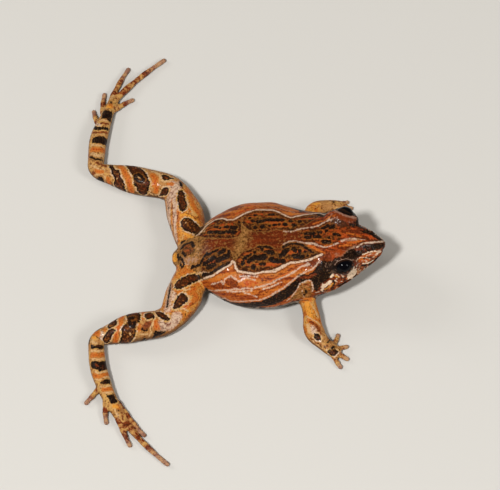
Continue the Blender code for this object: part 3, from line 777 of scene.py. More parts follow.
THIGHS = area({
    Layer.RING: (
        ((178.5, 191), (182, 190.5), (184, 194), (184.5, 199), (186.5, 204), (186, 208.5), (183, 211),
         (180, 209.5), (179, 205), (178, 199)),
        ((181, 221.5), (184, 218.7), (187.5, 218.3), (192, 220.5), (197, 224.5), (200.5, 227.5),
         (201, 231), (198, 234.5), (194, 233), (189, 231.5), (184.5, 229.5), (181.5, 226)),
        ((175, 284.5), (178, 281), (183, 277.5), (188, 275.3), (194, 274.3), (198, 275.5), (201, 278.5),
         (197, 280.5), (192, 282.5), (187, 285.5), (182, 287.8), (177.5, 288.8), (175, 287.5)),
        ((174, 306), (175.5, 301.5), (178.5, 296.5), (182, 293.5), (185.5, 295), (187.5, 298), (187, 301),
         (184, 303.5), (181, 306), (177.5, 308.7), (173.5, 308.5)),
    ),
    Layer.PALE: (
        (0.5, (186, 222.5)), (0.6, (187.6, 200), (189.4, 207), (192.4, 213)),
        (0.8, (176, 309.6), (183, 308.6), (188, 311)), (0.7, (189, 296), (190.4, 301), (187.4, 304)),
        (0.7, (184, 290.6), (190, 288.8)),
    ),
    Layer.FIRE: (
        (1.2, (187, 190), (191, 197), (193.4, 205), (195.4, 210), (199, 214), (203, 221)),
        (0.8, (178.6, 210), (179.2, 217), (179, 223)), (1.5, (190, 291.6), (195, 288.6)),
        (1.5, (195, 294), (197, 299)), (1.4, (184, 307.5), (189, 304.5), (194, 301)),
        (0.9, (183, 273), (190, 270.5)), (0.8, (176, 290.5), (181, 291)),
    ),
    Layer.GOLD: (
        (1.6, (180.6, 215.4), (187, 214.6), (192, 217), (198, 221.6), (203, 226.6)),
        (1.6, (179.4, 225), (181.6, 231), (187, 235), (194, 236.6)),
    ),
    Layer.ASH: (
        (3.0, (168.4, 198), (168.6, 210), (169.4, 222), (171, 236), (172.6, 246)),
        (2.0, (174.4, 198), (174.8, 212), (174.6, 226), (176.6, 240)),
        (3.0, (172, 272), (170, 282), (169.4, 292), (168, 302), (167, 310)), (1.6, (174, 292), (173, 299)),
    ),
    Layer.WINE: (
        (0.5, (172.2, 205), (172.8, 215), (173.5, 222), (173.8, 230), (173.5, 238)),
        (0.6, (186, 213.4), (191, 214.6), (196, 219)),
        (0.5, (178, 212.6), (177.6, 219), (178.6, 226), (184, 232.4)), (0.8, (176, 272), (175, 275)),
        (0.6, (186, 289.4), (191, 287.4), (196, 285)), (0.5, (190, 306), (195, 303), (199, 297)),
    ),
    Layer.SPOT: (
        (0.3, (168.6, 208)), (0.3, (171, 214.4)), (0.4, (170.4, 226), (171, 229)), (0.3, (172, 236)),
        (0.4, (170.6, 284), (169.4, 292), (168, 300), (167, 307)),
    ),
})
SHANK_LEFT = area({
    Layer.RING: (
        ((125.3, 164.5), (130, 164.2), (134, 165.2), (138, 167.5), (142, 170), (145, 173), (147, 177),
         (149, 181), (149.8, 184), (148, 188), (148.3, 191), (146, 194), (143.5, 194.8), (140, 193),
         (137.3, 190), (137, 187), (134.6, 184), (134.8, 180), (133.6, 176), (131.5, 173), (128.5, 168.5)),
        ((109, 166), (112, 165.3), (113.3, 167.5), (115, 169.5), (118, 170.5), (119.5, 173.5),
         (120.3, 177), (122.5, 179.5), (124, 184), (124.6, 188.5), (126.2, 191.8), (122, 192.5),
         (117.5, 189.5), (115.5, 186.5), (114.3, 183.3), (115.3, 180.5), (115, 177.5), (113, 174.5),
         (111.5, 172.5), (112, 170)),
        ((162, 175.5), (165, 175), (170, 177.5), (173.5, 178.6), (168, 179.8), (164, 180.3), (162.5, 178)),
        ((159.3, 196), (162, 190), (164, 187.8), (167, 187.3), (168.5, 190.5), (167.5, 194), (166.3, 195)),
    ),
    Layer.SPOT: (
        (1.0, (135.6, 176), (138, 174.8), (141.4, 176.6), (143.6, 179.6), (142, 181.6), (138, 180.6),
         (135.6, 178)),
        ((96.5, 180), (99, 177.3), (102, 176.8), (103, 180), (104.8, 184), (100, 181.8)),
        (0.9, (180.8, 182.6), (181.4, 185.6)),
    ),
    Layer.PALE: (
        (0.9, (138.2, 177), (139.8, 178)), (0.8, (117, 178.3)),
        (0.7, (90.5, 165), (95, 166.5), (100, 168.8), (105, 169.3)),
        (0.8, (94.5, 176.5), (97.5, 174.5), (102.5, 174.5), (105, 177.5), (105.5, 183)),
        (0.9, (152, 171.5), (156, 172.5), (160, 175), (160.5, 179.5), (165, 182), (171, 180.8)),
        (0.7, (150.5, 194), (155, 195), (159.3, 194), (161, 189.5), (163.5, 186.5), (168, 186.3),
         (170.5, 189)),
    ),
    Layer.WINE: (
        (1.2, (92.4, 173.6), (94.4, 173)), (1.6, (96, 162.6), (101, 164), (107, 166.4)),
    ),
    Layer.FIRE: (
        (1.6, (120.6, 166.6), (124.5, 172), (127.4, 177), (129, 182), (130.2, 187), (132, 191.6)),
        (2.0, (153, 175.5), (155.4, 179), (154.6, 184), (156.6, 188), (156.4, 191.4)),
        (1.4, (108, 179), (109.4, 183)), (0.9, (97, 171.4), (102, 171.8)), (1.0, (168, 184.4), (172, 184)),
    ),
    Layer.ASH: (
        (4.4, (172, 184.6), (176, 189), (171, 196)), (2.4, (180, 183.4), (178, 187)),
    ),
})
SHANK_RIGHT = area({
    Layer.RING: (
        ((126.5, 315.5), (128, 313.5), (132, 313.2), (136, 312), (139, 313), (140, 315.5), (139.8, 319),
         (138.8, 321.5), (136.5, 322.5), (135.5, 325), (135, 328), (135.2, 332), (134.3, 335.5),
         (132.8, 339), (130, 342), (127, 344.2), (122.5, 344), (120, 342), (121.5, 338), (122.3, 333),
         (121.8, 329.5), (123.5, 326.5), (126, 324), (128.3, 322), (127.8, 319.5)),
        ((145.8, 314), (149, 312.8), (152, 313.5), (154, 315.5), (153.5, 318), (150, 318.3), (147, 318.8),
         (145.3, 317)),
        ((155.5, 312), (159, 311.8), (163, 313.5), (166.5, 315.5), (169, 318.5), (169, 320), (165, 319.8),
         (161.5, 318.2), (158.8, 316), (156, 313.8)),
        ((109, 324.5), (111, 321.5), (114, 319.5), (116.5, 317.3), (117.2, 318), (116, 320.5),
         (116.8, 323), (115.2, 325.8), (112, 326.8), (109.5, 328.3), (108, 326.5)),
        ((109.5, 329.5), (113, 328.8), (115, 330.5), (113, 332.8), (111.5, 335), (110.5, 338),
         (109, 341.5), (107, 343), (103.8, 342), (103, 339.5), (104.5, 336.5), (107, 333)),
    ),
    Layer.SPOT: (
        (1.6, (130.4, 318.4), (133, 318)), (1.3, (129.6, 322), (131, 326.4)),
        (1.2, (134.2, 323), (133.2, 327)), (0.2, (142, 328.6), (144.6, 331.4), (147.4, 330)),
        ((96, 329.3), (98.5, 327.6), (101.8, 326.4), (101, 328.3), (98, 330)),
        (0.8, (89.5, 337.5), (89, 343)), ((155, 331), (165, 332), (157, 336), (152, 338.8)),
        (1.0, (141, 341.5), (145, 338.5)),
    ),
    Layer.GOLD: (
        (0.8, (131.8, 322.4), (132.6, 323)), (0.6, (127.6, 338.4), (129.4, 338)),
        (1.1, (93, 337.5), (95.5, 338)),
    ),
    Layer.PALE: (
        (0.7, (130.2, 333.8), (130.6, 334.6)),
        (0.6, (118.3, 317), (117.8, 321.5), (118, 324.5), (115.5, 327), (112, 328)),
        (0.8, (153, 320.5), (152.6, 325), (150, 328.6), (151.5, 332), (148, 337)),
        (0.8, (154.8, 313), (156.5, 317)), (0.9, (140, 334.5), (148, 334)),
        # painted highlight: the stroke from (91, 341) to (96, 343.4) is a glint on the ankle
        (1.1, (94, 331.4), (95.4, 331.2)), (1.2, (91, 341), (96, 343.4)),
    ),
    Layer.WINE: (
        ((146, 321), (149, 319.8), (151.5, 321), (151.5, 324.5), (149.5, 327.5), (147.5, 330.5),
         (145, 332), (141.8, 330.5), (140.8, 328), (142.8, 325.5), (144.6, 323.3)),
        (0.4, (164, 322), (168, 325), (172, 322)),
    ),
    Layer.FIRE: (
        (2.1, (122, 317), (120.5, 320), (119.2, 324.5), (117.5, 328), (116, 331), (115.8, 336),
         (116.2, 341)),
        (1.2, (142.7, 312.6), (142.7, 318)), (1.1, (139, 325.5), (139, 329.4)),
        (1.6, (154.4, 320.6), (156, 324.5), (156.8, 328)), (1.5, (96, 332.5), (98, 334.5)),
        (0.8, (105, 329.5), (106, 330.5)), (0.8, (112.5, 327.6), (115, 328.5)),
    ),
    Layer.ASH: (
        (1.8, (101.6, 333.6), (101, 339)), (5.0, (162, 326), (170, 325), (176, 318)),
    ),
})
BANDS = area({
    Layer.BAND: (
        ((90.5, 344.5), (96, 345.3), (101, 344.8), (104.5, 347), (103, 349), (99.5, 349.6), (96, 348),
         (93, 349.4), (91, 348)),
        ((91, 362), (95, 361), (99, 361.8), (102, 361.2), (107, 361), (109, 364), (109, 369), (104, 370.2),
         (100, 372), (97, 370), (93, 368.5), (91, 366)),
        ((103.5, 380.5), (106, 379), (110, 380), (110.8, 384.5), (106, 384.8), (101, 384), (99.5, 382.5)),
        ((106, 394), (109.5, 395.5), (113, 393.5), (115, 396.5), (118, 401.5), (115, 403.5), (110.5, 403),
         (109, 399), (107, 396.5)),
        ((103.5, 110.5), (107, 110.3), (110.5, 111.5), (112.6, 113.5), (111.8, 118), (110.5, 122.5),
         (108.3, 121), (106, 118.8), (101.5, 118.5), (101.5, 116)),
        (2.0, (92.6, 127.6), (97, 128.6), (101, 128.4), (107.5, 129)),
        (0.8, (90, 124), (89.4, 132), (89, 142), (88.6, 150)),
        ((92.3, 139), (95.5, 136.8), (99.5, 136.2), (104, 136.3), (107, 139.5), (107, 143), (106.5, 146.8),
         (102.5, 144.8), (98, 143.2), (92.3, 143)),
    ),
    Layer.PALE: (
        (1.0, (91, 351), (99, 351.2), (107, 351)), (1.0, (92, 359.4), (99, 359.6), (107.6, 359)),
        (0.9, (95, 371.6), (99, 373.6), (104, 372), (109, 371)),
        (0.7, (95, 379.4), (100, 379.6), (103, 378), (110, 377.6)),
        (0.9, (100, 386.4), (105, 386.6), (111, 386)), (0.8, (103.4, 392.4), (108, 392.8), (113, 391.8)),
        (1.3, (115, 410), (118, 415)), (0.7, (99.5, 120.6), (103, 120), (107, 121)),
        (0.4, (92, 136), (95, 134.8), (100, 134.2), (105, 134.8)),
        (0.8, (91, 144.8), (95, 145), (99.5, 145.4), (103.6, 147.2)),
        (1.7, (91.5, 154), (95, 155), (100, 156), (104, 155.4)), (1.5, (110.6, 98.4), (113.4, 96)),
    ),
    Layer.FIRE: (
        (1.5, (91.5, 355.4), (99, 355.2), (106.5, 355)),
        (1.2, (94, 375.6), (99, 376.6), (104, 375), (109.6, 374.6)), (1.2, (103.6, 389.6), (112, 389.6)),
        (1.0, (117.8, 406), (118.6, 408)), (1.7, (92, 149.4), (98, 149.6), (104.5, 151)),
        (1.1, (110.4, 105), (111, 107)),
    ),
    Layer.WINE: (
        (0.7, (95.4, 364.6), (97.6, 365.6)), (0.6, (121.5, 413), (123, 417), (122.5, 420.5)),
        (0.4, (130, 425.6), (136.4, 431)), (0.4, (142, 437), (146, 441)), (0.4, (128, 431), (134, 437)),
        (0.3, (150, 445.6), (152, 447.4)), (1.1, (101, 123.2), (105, 123.2), (108.5, 124.6)),
        (1.4, (92.5, 133), (99, 132.6), (107, 133)),
        (0.9, (89, 158), (88.6, 148), (89.4, 138), (91.6, 129), (95, 122.4)),
        (0.7, (114.4, 107), (114.6, 110)), (0.8, (117.6, 93.6), (118.6, 90.4)),
        (0.5, (126.4, 92.6), (128, 91)), (0.5, (142.6, 77.6), (144.4, 76.4)),
        (0.4, (153.2, 70), (154.6, 69)), (0.4, (134.6, 84.6), (136.4, 83.2)),
    ),
    Layer.GOLD: (
        (1.6, (113.6, 406), (117, 407)), (1.6, (107, 106.6), (110.4, 107)),
    ),
    Layer.SPOT: (
        (0.5, (118, 410.4)), (0.6, (90.5, 157), (95, 159.3), (102, 160.3)), (0.9, (111, 102.3)),
    ),
    Layer.ASH: ((1.0, (95.6, 124.8), (99.6, 125)),),
})
ARMS = area({
    Layer.SAND: (
        ((298, 288), (301, 283.6), (307, 281.4), (311, 282.6), (312.4, 288), (311.4, 296), (302, 298),
         (292, 300), (289, 300.4), (294, 294)),
    ),
    Layer.WINE: (
        (0.7, (302.6, 284.8), (307, 284), (309.6, 286)), (0.4, (300, 290), (303, 287.6)),
        (0.5, (309.4, 290), (308.6, 294)), (1.2, (318.4, 309.6), (321.4, 313)),
        (1.7, (311, 322.4), (316, 325), (318.8, 328.4), (320, 334)),
        (0.7, (311, 338), (316, 343), (320, 344)), (0.9, (325.6, 347), (327.6, 346)),
    ),
    Layer.FIRE: (
        (0.5, (305, 287), (309, 289)), (0.8, (308, 320), (310.4, 321.6)),
    ),
    Layer.SPOT: (
        (0.9, (305.6, 290.8), (306.4, 292.4)), (0.9, (304.2, 294.4)),
        (0.4, (328.6, 333.4), (330.2, 337), (329.4, 340.6), (327.4, 342.4)),
        (0.6, (331.4, 348), (334, 347)), (0.4, (318, 199.8), (322, 199.2)), (0.6, (333.6, 202)),
    ),
    Layer.PALE: (
        (0.4, (302.4, 290.4), (302, 294), (304, 297)),
        (0.5, (286.4, 301.2), (292, 296.4), (296, 291), (299, 285.8), (300.4, 283.2), (304, 282),
         (307, 280.4), (311, 281.2), (312.6, 285), (313, 289), (312, 292)),
        (0.8, (312, 305), (315.6, 311), (318, 317)),
        (0.8, (307, 316.4), (312.6, 319.6), (317.6, 322.6), (320.4, 325.4)),
        (1.9, (308, 325), (309.4, 332)), (0.6, (313, 341), (317, 345), (324, 349)),
        (0.7, (308, 201), (309.6, 200.6)), (0.5, (330, 201.4), (332, 202)),
    ),
    Layer.GOLD: (
        (2.6, (307.4, 304), (308, 310), (310, 315)), (1.0, (322, 316), (323.4, 324), (324.4, 331)),
        (1.5, (308, 205), (315, 204.4), (319, 203)),
    ),
    Layer.ASH: ((2.2, (312.6, 328), (314.4, 332)),),
    Layer.RING: (
        ((315, 334.4), (318, 334), (320.4, 337.6), (320, 340), (316.6, 339.6), (314.6, 337.6)),
        ((327.6, 351.4), (331, 349.8), (335.4, 349.6), (338, 351.6), (334.6, 355), (330, 354.4)),
    ),
})
MARKS = (*BACK_LINES, *FLANK_LINES, *FLANK_MARKS, *PANELS, *BACK_SPOTS, *BAND, *SNOUT, *LIPS,
         *LIP_SPOTS, *RUMP, *THIGHS, *SHANK_LEFT, *SHANK_RIGHT, *BANDS, *ARMS)


def stroke_distance(points: np.ndarray, line: np.ndarray, closed: bool) -> np.ndarray:
    """Measure points in a plane against a line, or a closed outline with its inside below zero.

    Args:
        points: The points, as (n, 2).
        line: The line's own points.
        closed: Whether it closes.

    Returns:
        The distance of each point.
    """
    if len(line) == 1:
        return np.linalg.norm(points - line[0], axis=1)
    ends = np.roll(line, -1, axis=0) if closed else line[1:]
    best = np.full(len(points), np.inf)
    inside = np.zeros(len(points), dtype=bool)
    for a, b in zip(line, ends):
        way = b - a
        offset = points - a
        share = np.clip(offset @ way / max(float(way @ way), 1e-9), 0.0, 1.0)
        best = np.minimum(best, np.linalg.norm(offset - share[:, None] * way, axis=1))
        if closed:
            crosses = (a[1] > points[:, 1]) != (b[1] > points[:, 1])
            at = a[0] + (points[:, 1] - a[1]) / (way[1] if way[1] else 1e-9) * way[0]
            inside ^= crosses & (points[:, 0] < at)
    return np.where(inside, -best, best)


def cell_draw(cells: np.ndarray, seed: int) -> np.ndarray:
    """Return the same even draw from 0 to 1 each time for a whole-number cell."""
    n = cells[:, 0] * 73856093 ^ cells[:, 1] * 19349663 ^ cells[:, 2] * 83492791 ^ seed * 39916801
    n = (n ^ (n >> 13)) * 1274126177 & 0x7FFFFFFF
    return ((n ^ (n >> 15)) & 0xFFFFFF) / 0xFFFFFF


def wander(points: np.ndarray, size: float, seed: int) -> np.ndarray:
    """Return smooth noise from -1 to 1 that changes over a size."""
    base = np.floor(points / size).astype(np.int64)
    t = points / size - base
    t = t * t * (3.0 - 2.0 * t)
    total = np.zeros(len(points))
    for corner in np.ndindex(2, 2, 2):
        share = np.prod(np.where(np.array(corner) == 1, t, 1.0 - t), axis=1)
        total += share * cell_draw(base + np.array(corner), seed)
    return 2.0 * total - 1.0


def grains(points: np.ndarray, size: float, seed: int, spread: float = 0.55) -> np.ndarray:
    """Return rounded grains: 1 on top of each and 0 between them."""
    base = np.floor(points / size).astype(np.int64)
    best = np.full(len(points), np.inf)
    for step in np.ndindex(3, 3, 3):
        cell = base + np.array(step) - 1
        heart = cell + np.stack([cell_draw(cell, seed + k) for k in range(3)], axis=1)
        best = np.minimum(best, np.sum((points / size - heart) ** 2, axis=1))
    return np.clip(1.0 - best / spread, 0.0, 1.0)


class Surface:
    """The points of a mesh, worked on as arrays and in millimetres."""

    def __init__(self, mesh: bpy.types.Mesh) -> None:
        """Read the points and edges of a mesh."""
        self.mesh = mesh
        self.count = len(mesh.vertices)
        points = np.empty(self.count * 3, dtype=np.float32)
        mesh.vertices.foreach_get("co", points)
        self.points = points.reshape(-1, 3).astype(float)
        edges = np.empty(len(mesh.edges) * 2, dtype=np.int32)
        mesh.edges.foreach_get("vertices", edges)
        self.edges = edges.reshape(-1, 2)
        self.share = 1.0 / np.maximum(np.bincount(edges, minlength=self.count), 1)

    def store(self, points: np.ndarray) -> None:
        """Write points back to the mesh."""
        self.mesh.vertices.foreach_set("co", points.astype(np.float32).ravel())
        self.mesh.update()

    def normals(self) -> np.ndarray:
        """Return the outward direction at each point."""
        self.store(self.points)
        values = np.empty(self.count * 3, dtype=np.float32)
        self.mesh.vertex_normals.foreach_get("vector", values)
        return values.reshape(-1, 3).astype(float)

    def relax(self, weight: np.ndarray, rounds: int) -> None:
        """Draw each point towards its neighbours.

        Args:
            weight: How far each point goes, from 0 to 1.
            rounds: How many times.
        """
        moving = weight[:, None]
        a, b = self.edges[:, 0], self.edges[:, 1]
        for _ in range(rounds):
            total = np.empty_like(self.points)
            for k in range(3):
                total[:, k] = np.bincount(a, self.points[b, k], self.count)
                total[:, k] += np.bincount(b, self.points[a, k], self.count)
            self.points += moving * (total * self.share[:, None] - self.points)

    def push(self, amount: np.ndarray) -> None:
        """Move each point outwards by an amount."""
        self.points += self.normals() * amount[:, None]

    def keep(self, name: str, values: np.ndarray) -> None:
        """Store a number for each point under a name that a material can read."""
        layer = self.mesh.attributes.new(name, "FLOAT", "POINT")
        layer.data.foreach_set("value", values.astype(np.float32))


LEG_RIGHT = (
    (2.4, -0.9, 2.0, 1.7, 1.7, 0.0), (1.45, -5.2, 1.8, 2.25, 2.0, 1.5),
    (-0.25, -8.75, 1.5, 1.65, 1.6, 1.9), (-4.7, -9.55, 1.55, 1.75, 1.65, 1.5),
    (-8.95, -10.95, 1.05, 0.95, 1.05, 1.0), (-8.55, -14.8, 0.95, 1.02, 0.95, 1.5),
    (-7.1, -18.7, 0.75, 0.85, 0.8, 1.5), (-5.75, -20.9, 0.6, 0.75, 0.65, 0.0))
LEG_LEFT = (
    (2.4, 0.9, 2.0, 1.7, 1.7, 0.0), (1.25, 6.2, 1.8, 2.25, 2.0, 1.5),
    (-0.35, 10.5, 1.5, 1.6, 1.6, 1.9), (-5.0, 11.35, 1.55, 1.75, 1.65, 1.5),
    (-10.15, 13.0, 1.05, 1.0, 1.05, 1.0), (-10.05, 17.7, 0.95, 1.1, 0.95, 1.5),
    (-9.1, 21.4, 0.75, 0.76, 0.78, 1.5), (-8.45, 23.6, 0.6, 0.62, 0.62, 0.0))
ARM_RIGHT = (
    (15.5, -3.9, 2.4, 1.05, 1.05, 0.0), (16.7, -6.8, 1.6, 1.0, 1.0, 1.2),
    (16.95, -9.3, 1.05, 1.2, 1.05, 1.1), (18.5, -10.95, 0.75, 0.85, 0.75, 0.8),
    (19.75, -11.8, 0.5, 0.85, 0.5, 0.0))
ARM_LEFT = (
    (15.4, 3.9, 2.4, 1.05, 1.05, 0.0), (16.2, 6.3, 1.7, 1.0, 1.0, 1.2),
    (16.75, 8.1, 1.05, 1.0, 1.0, 1.1), (18.9, 8.85, 0.75, 0.8, 0.7, 0.8),
    (20.0, 8.95, 0.5, 0.8, 0.5, 0.0))
TOES_RIGHT = (
    ((-7.9, -16.9), (-8.9, -18.3), (-9.7, -19.3), 0.38),
    ((-7.3, -18.1), (-7.6, -20.2), (-7.2, -21.9), 0.4),
    ((-6.5, -19.7), (-5.6, -22.3), (-4.3, -24.9), 0.42),
    ((-6.0, -20.3), (-4.2, -23.6), (0.2, -27.3), 0.45),
    ((-6.0, -19.3), (-4.3, -21.8), (-2.7, -23.5), 0.4))
TOES_LEFT = (
    ((-9.9, 19.6), (-10.6, 21.0), (-10.8, 22.2), 0.38),
    ((-9.5, 20.8), (-9.9, 22.9), (-9.6, 24.8), 0.4),
    ((-9.0, 22.4), (-8.4, 25.6), (-6.8, 28.7), 0.42),
    ((-8.6, 23.0), (-6.9, 26.2), (-2.4, 30.2), 0.45),
    ((-8.7, 21.9), (-7.4, 23.3), (-6.1, 24.1), 0.4))
FINGERS_RIGHT = (
    ((19.15, -11.1), (19.7, -10.3), (19.95, -9.25), 0.38),
    ((19.5, -11.4), (20.3, -11.05), (21.0, -10.8), 0.4),
    ((19.6, -11.8), (20.4, -12.1), (21.1, -12.5), 0.42),
    ((19.3, -11.9), (19.7, -12.8), (20.3, -13.6), 0.38))
FINGERS_LEFT = (
    ((19.55, 8.6), (20.3, 7.9), (20.8, 7.1), 0.38),
    ((19.8, 8.8), (20.6, 8.3), (21.4, 7.9), 0.4),
    ((19.8, 9.0), (20.6, 8.9), (21.3, 8.8), 0.42),
    ((19.5, 9.1), (20.2, 9.5), (20.8, 9.7), 0.38))
FLESH = ("head", "torso", *(f"{part}_{side}" for side in ("left", "right") for part in (
    "thigh", "shank", "tarsus", "foot", "upper_arm", "forearm", "hand")))


@dataclass
class Skin:
    """One skin over the trunk, head, limbs and digits, with its folds, lids, mouth and nostrils."""

    view: View
    eyes: EyeSite
    trunk: TrunkForm = field(default_factory=TrunkForm)
    voxel: float = 0.09
    mouth_corner: float = 17.9
    mouth_depth: float = 0.17
    mouth_width: float = 0.11
    mouth_droop: float = 0.3
    lips: Points = ((0.08, 0.32, 0.2), (0.06, -0.3, 0.18))
    nostril: tuple[float, float, float] = (23.4, 1.4, 6.95)
    nostril_radius: float = 0.16
    nostril_rim: float = 0.06
    nostril_depth: float = 0.22
    canthus: Points = ((21.9, 2.5, 7.75), (23.4, 1.75, 7.35), (24.6, 0.9, 6.6), (25.1, 0.0, 6.1))
    canthus_height: float = 0.07
    canthus_width: float = 0.32
    hollow_drop: tuple[float, float] = (-0.25, 0.85)
    hollow_depth: float = 0.10
    hollow_width: float = 0.55
    left_fullness: float = 0.26
    left_width: float = 0.8
    snout_flat: tuple[float, float] = (24.6, 23.4)
    lean: float = 0.34
    lid_reach: float = 1.25
    lid_roll: float = 0.055
    lid_thickness: float = 0.03
    lid_rim: float = 0.06
    grain_height: float = 0.028
    grain_size: float = 0.34
    belly_grain_height: float = 0.04
    belly_grain_size: float = 0.62
    line_fold: float = 0.07
    thin_fold: float = 0.03
    spot_wart: float = 0.035
    ring_wart: float = 0.03
    trunk_join: float = 1.5
    arm_share: float = 2.0
    digit_join: float = 0.45

    def __post_init__(self) -> None:
        """Set up the forms."""
        limbs = (LEG_RIGHT, LEG_LEFT, ARM_RIGHT, ARM_LEFT)
        digits = (TOES_RIGHT, TOES_LEFT, FINGERS_RIGHT, FINGERS_LEFT)
        self.limbs = [Limb(points) for points in limbs]
        for arm in self.limbs[2:]:
            arm.share = self.arm_share
        self.digits = [Digit(*spec) for group in digits for spec in group]
        self.forms = [self.trunk, *self.limbs, *self.digits]

    def build(self) -> bpy.types.Object:
        """Build the skin.

        Returns:
            The skin as an object in metres, with its pattern stored on it.
        """
        surface = Surface(self.wrap())
        LOG.info("skin: %d points", surface.count)
        self.join(surface)
        self.shape_head(surface)
        places = [form.locate(surface.points) for form in self.forms]
        pattern = Pattern(surface, self.view, self.forms, places)
        layers = {layer: pattern.distance(layer) for layer in Layer}
        self.raise_relief(surface, pattern, layers)
        self.store(surface, pattern, layers)
        surface.points[:, 2] = np.maximum(surface.points[:, 2], 0.0)
        surface.store((surface.points - MIDDLE) * MM)
        surface.mesh.shade_smooth()
        item = bpy.data.objects.new("skin", surface.mesh)
        bpy.context.scene.collection.objects.link(item)
        return item

    def wrap(self) -> bpy.types.Mesh:
        """Loft every form and wrap them all in one even skin."""
        shells = Shells()
        for form in self.forms:
            form.build(shells)
        for side in (1, -1):
            shells.ball(self.eyes.mound(side), np.array(self.eyes.lid_radii))
        item = bpy.data.objects.new("wrap", shells.mesh("wrap"))
        bpy.context.scene.collection.objects.link(item)
        modifier = item.modifiers.new("wrap", "REMESH")
        modifier.mode = "VOXEL"
        modifier.voxel_size = self.voxel
        graph = bpy.context.evaluated_depsgraph_get()
        mesh = bpy.data.meshes.new_from_object(item.evaluated_get(graph))
        bpy.data.objects.remove(item, do_unlink=True)
        mesh.name = "skin"
        return mesh

    def join(self, surface: Surface) -> None:
        """Even out the skin and fill the creases where limbs and digits grow out."""
        surface.relax(np.full(surface.count, 0.5), 5)
        gaps = np.stack([form.locate(surface.points).gap for form in self.forms])
        limb_gap = gaps[1:1 + len(self.limbs)].min(axis=0)
        digit_gap = np.sort(gaps[1 + len(self.limbs):], axis=0)
        root = np.maximum(np.abs(gaps[0]), np.abs(limb_gap))
        surface.relax(1.0 - ramp(root, 0.3, self.trunk_join), 60)
        web = np.maximum(np.abs(digit_gap[0]), np.abs(np.minimum(limb_gap, digit_gap[1])))
        surface.relax(0.7 * (1.0 - ramp(web, 0.1, self.digit_join)), 14)
        lid = np.full(surface.count, Pattern.far)
        for side in (1, -1):
            away = (surface.points - self.eyes.mound(side)) / np.array(self.eyes.lid_radii)
            lid = np.minimum(lid, np.abs(np.linalg.norm(away, axis=1) - 1.0))
        crease = np.maximum(lid, np.abs(gaps[0]))
        surface.relax(1.0 - ramp(crease, 0.05, 0.6), 30)

    def shape_head(self, surface: Surface) -> None:
        """Shape the mouth, lips, nostrils, canthus and lids."""
        place = self.trunk.locate(surface.points)
        low = self.below_widest(place)
        head = ramp(place.run, self.mouth_corner, self.mouth_corner + 0.8) * (place.gap < 0.6)
        droop = self.mouth_droop * (1.0 - ramp(place.run, self.mouth_corner, self.mouth_corner + 2.2))
        mouth = low - droop
        amount = -self.mouth_depth * hill(mouth, self.mouth_width)
        amount += sum(height * hill(mouth + shift, width) for height, shift, width in self.lips)
        amount *= head
        forward, height = surface.points[:, 0], surface.points[:, 2]
        flat = ramp(forward, *self.snout_flat)
        for side in (1, -1):
            mirror = np.array((1, side, 1))
            away = np.linalg.norm(surface.points - np.array(self.nostril) * mirror, axis=1)
            amount += self.nostril_rim * hill(away - 2.0 * self.nostril_radius, self.nostril_radius)
            amount -= self.nostril_depth * hill(away, self.nostril_radius)
            line = np.array(self.canthus) * mirror
            ridge = self.from_line(surface.points, line)
            inward, down = self.hollow_drop
            hollow = self.from_line(surface.points, line - (0.0, inward * side, down))
            amount += self.canthus_height * hill(ridge, self.canthus_width)
            amount -= self.hollow_depth * hill(hollow, self.hollow_width)
            amount += self.left_fullness * hill(ridge, self.left_width) * (side > 0) * flat
        surface.push(amount)
        surface.points[:, 1] += self.lean * ramp(forward, 20.8, 23.6) * ramp(height, 6.6, 5.4)
        for side in (1, -1):
            self.shape_lids(surface, side)

    def shape_lids(self, surface: Surface, side: int) -> None:
        """Stretch the lids over one eyeball up to their opening and sink the skin inside it."""
        ahead, level, upward = self.eyes.axes(side)
        centre, radii = self.eyes.centre(side), np.array(self.eyes.ball_radii)
        share, opening = self.round_eye(surface.points, side)
        near = share < self.lid_reach
        rim = near & (np.abs(opening - 1.0) < self.lid_rim)
        inside = near & (opening < 1.0 - self.lid_rim)
        way = unit((surface.points - centre) / radii)
        across, rise = way @ level, way @ upward
        fit = np.where(rim, 1.0 / np.maximum(opening, 0.1), 1.0)
        across, rise = across * fit, rise * fit
        front = np.sqrt(np.maximum(1.0 - across ** 2 - rise ** 2, 0.0))
        snapped = across[:, None] * level + rise[:, None] * upward + front[:, None] * ahead
        way = np.where(rim[:, None], snapped, way)
        lid = 1.0 + self.lid_thickness + self.lid_roll * hill(opening - 1.0, 2.0 * self.lid_rim)
        share = np.where(inside, np.minimum(share, 0.8), np.maximum(share, lid))
        share = np.where(rim, 1.0 + self.lid_thickness + self.lid_roll, share)
        surface.points[near] = (centre + way * share[:, None] * radii)[near]
        outside = near & (opening > 1.0 + self.lid_rim)
        surface.relax(np.where(outside, 0.4, 0.0), 4)

    def round_eye(self, points: np.ndarray, side: int) -> tuple[np.ndarray, np.ndarray]:
        """Tell where points lie round one eyeball.

        Args:
            points: The points.
            side: 1 for the left eye and -1 for the right.

        Returns:
            Their distance from its centre in ball radii, and how far out of the opening between
            the lids they lie, 1 on its rim.
        """
        ahead, level, upward = self.eyes.axes(side)
        away = (points - self.eyes.centre(side)) / np.array(self.eyes.ball_radii)
        share = np.linalg.norm(away, axis=1)
        way = away / np.maximum(share, 1e-6)[:, None]
        wide, high = self.eyes.opening(side)
        opening = np.hypot((way @ level) / wide, (way @ upward) / high)
        return share, np.where(way @ ahead > 0.0, opening, Pattern.far)

    def from_lids(self, points: np.ndarray) -> np.ndarray:
        """Return how far points lie outside the nearer opening between the lids."""
        best = np.full(len(points), Pattern.far)
        for side in (1, -1):
            share, opening = self.round_eye(points, side)
            away = (opening - 1.0) * min(self.eyes.ball_radii)
            best = np.where(share < 1.5 * self.lid_reach, np.minimum(best, away), best)
        return best

    def below_widest(self, place: Places) -> np.ndarray:
        """Return how far below the trunk's widest line points lie, over the skin."""
        return np.abs(place.girth) - self.trunk.way_from_top(place.run, np.zeros(len(place.run)))

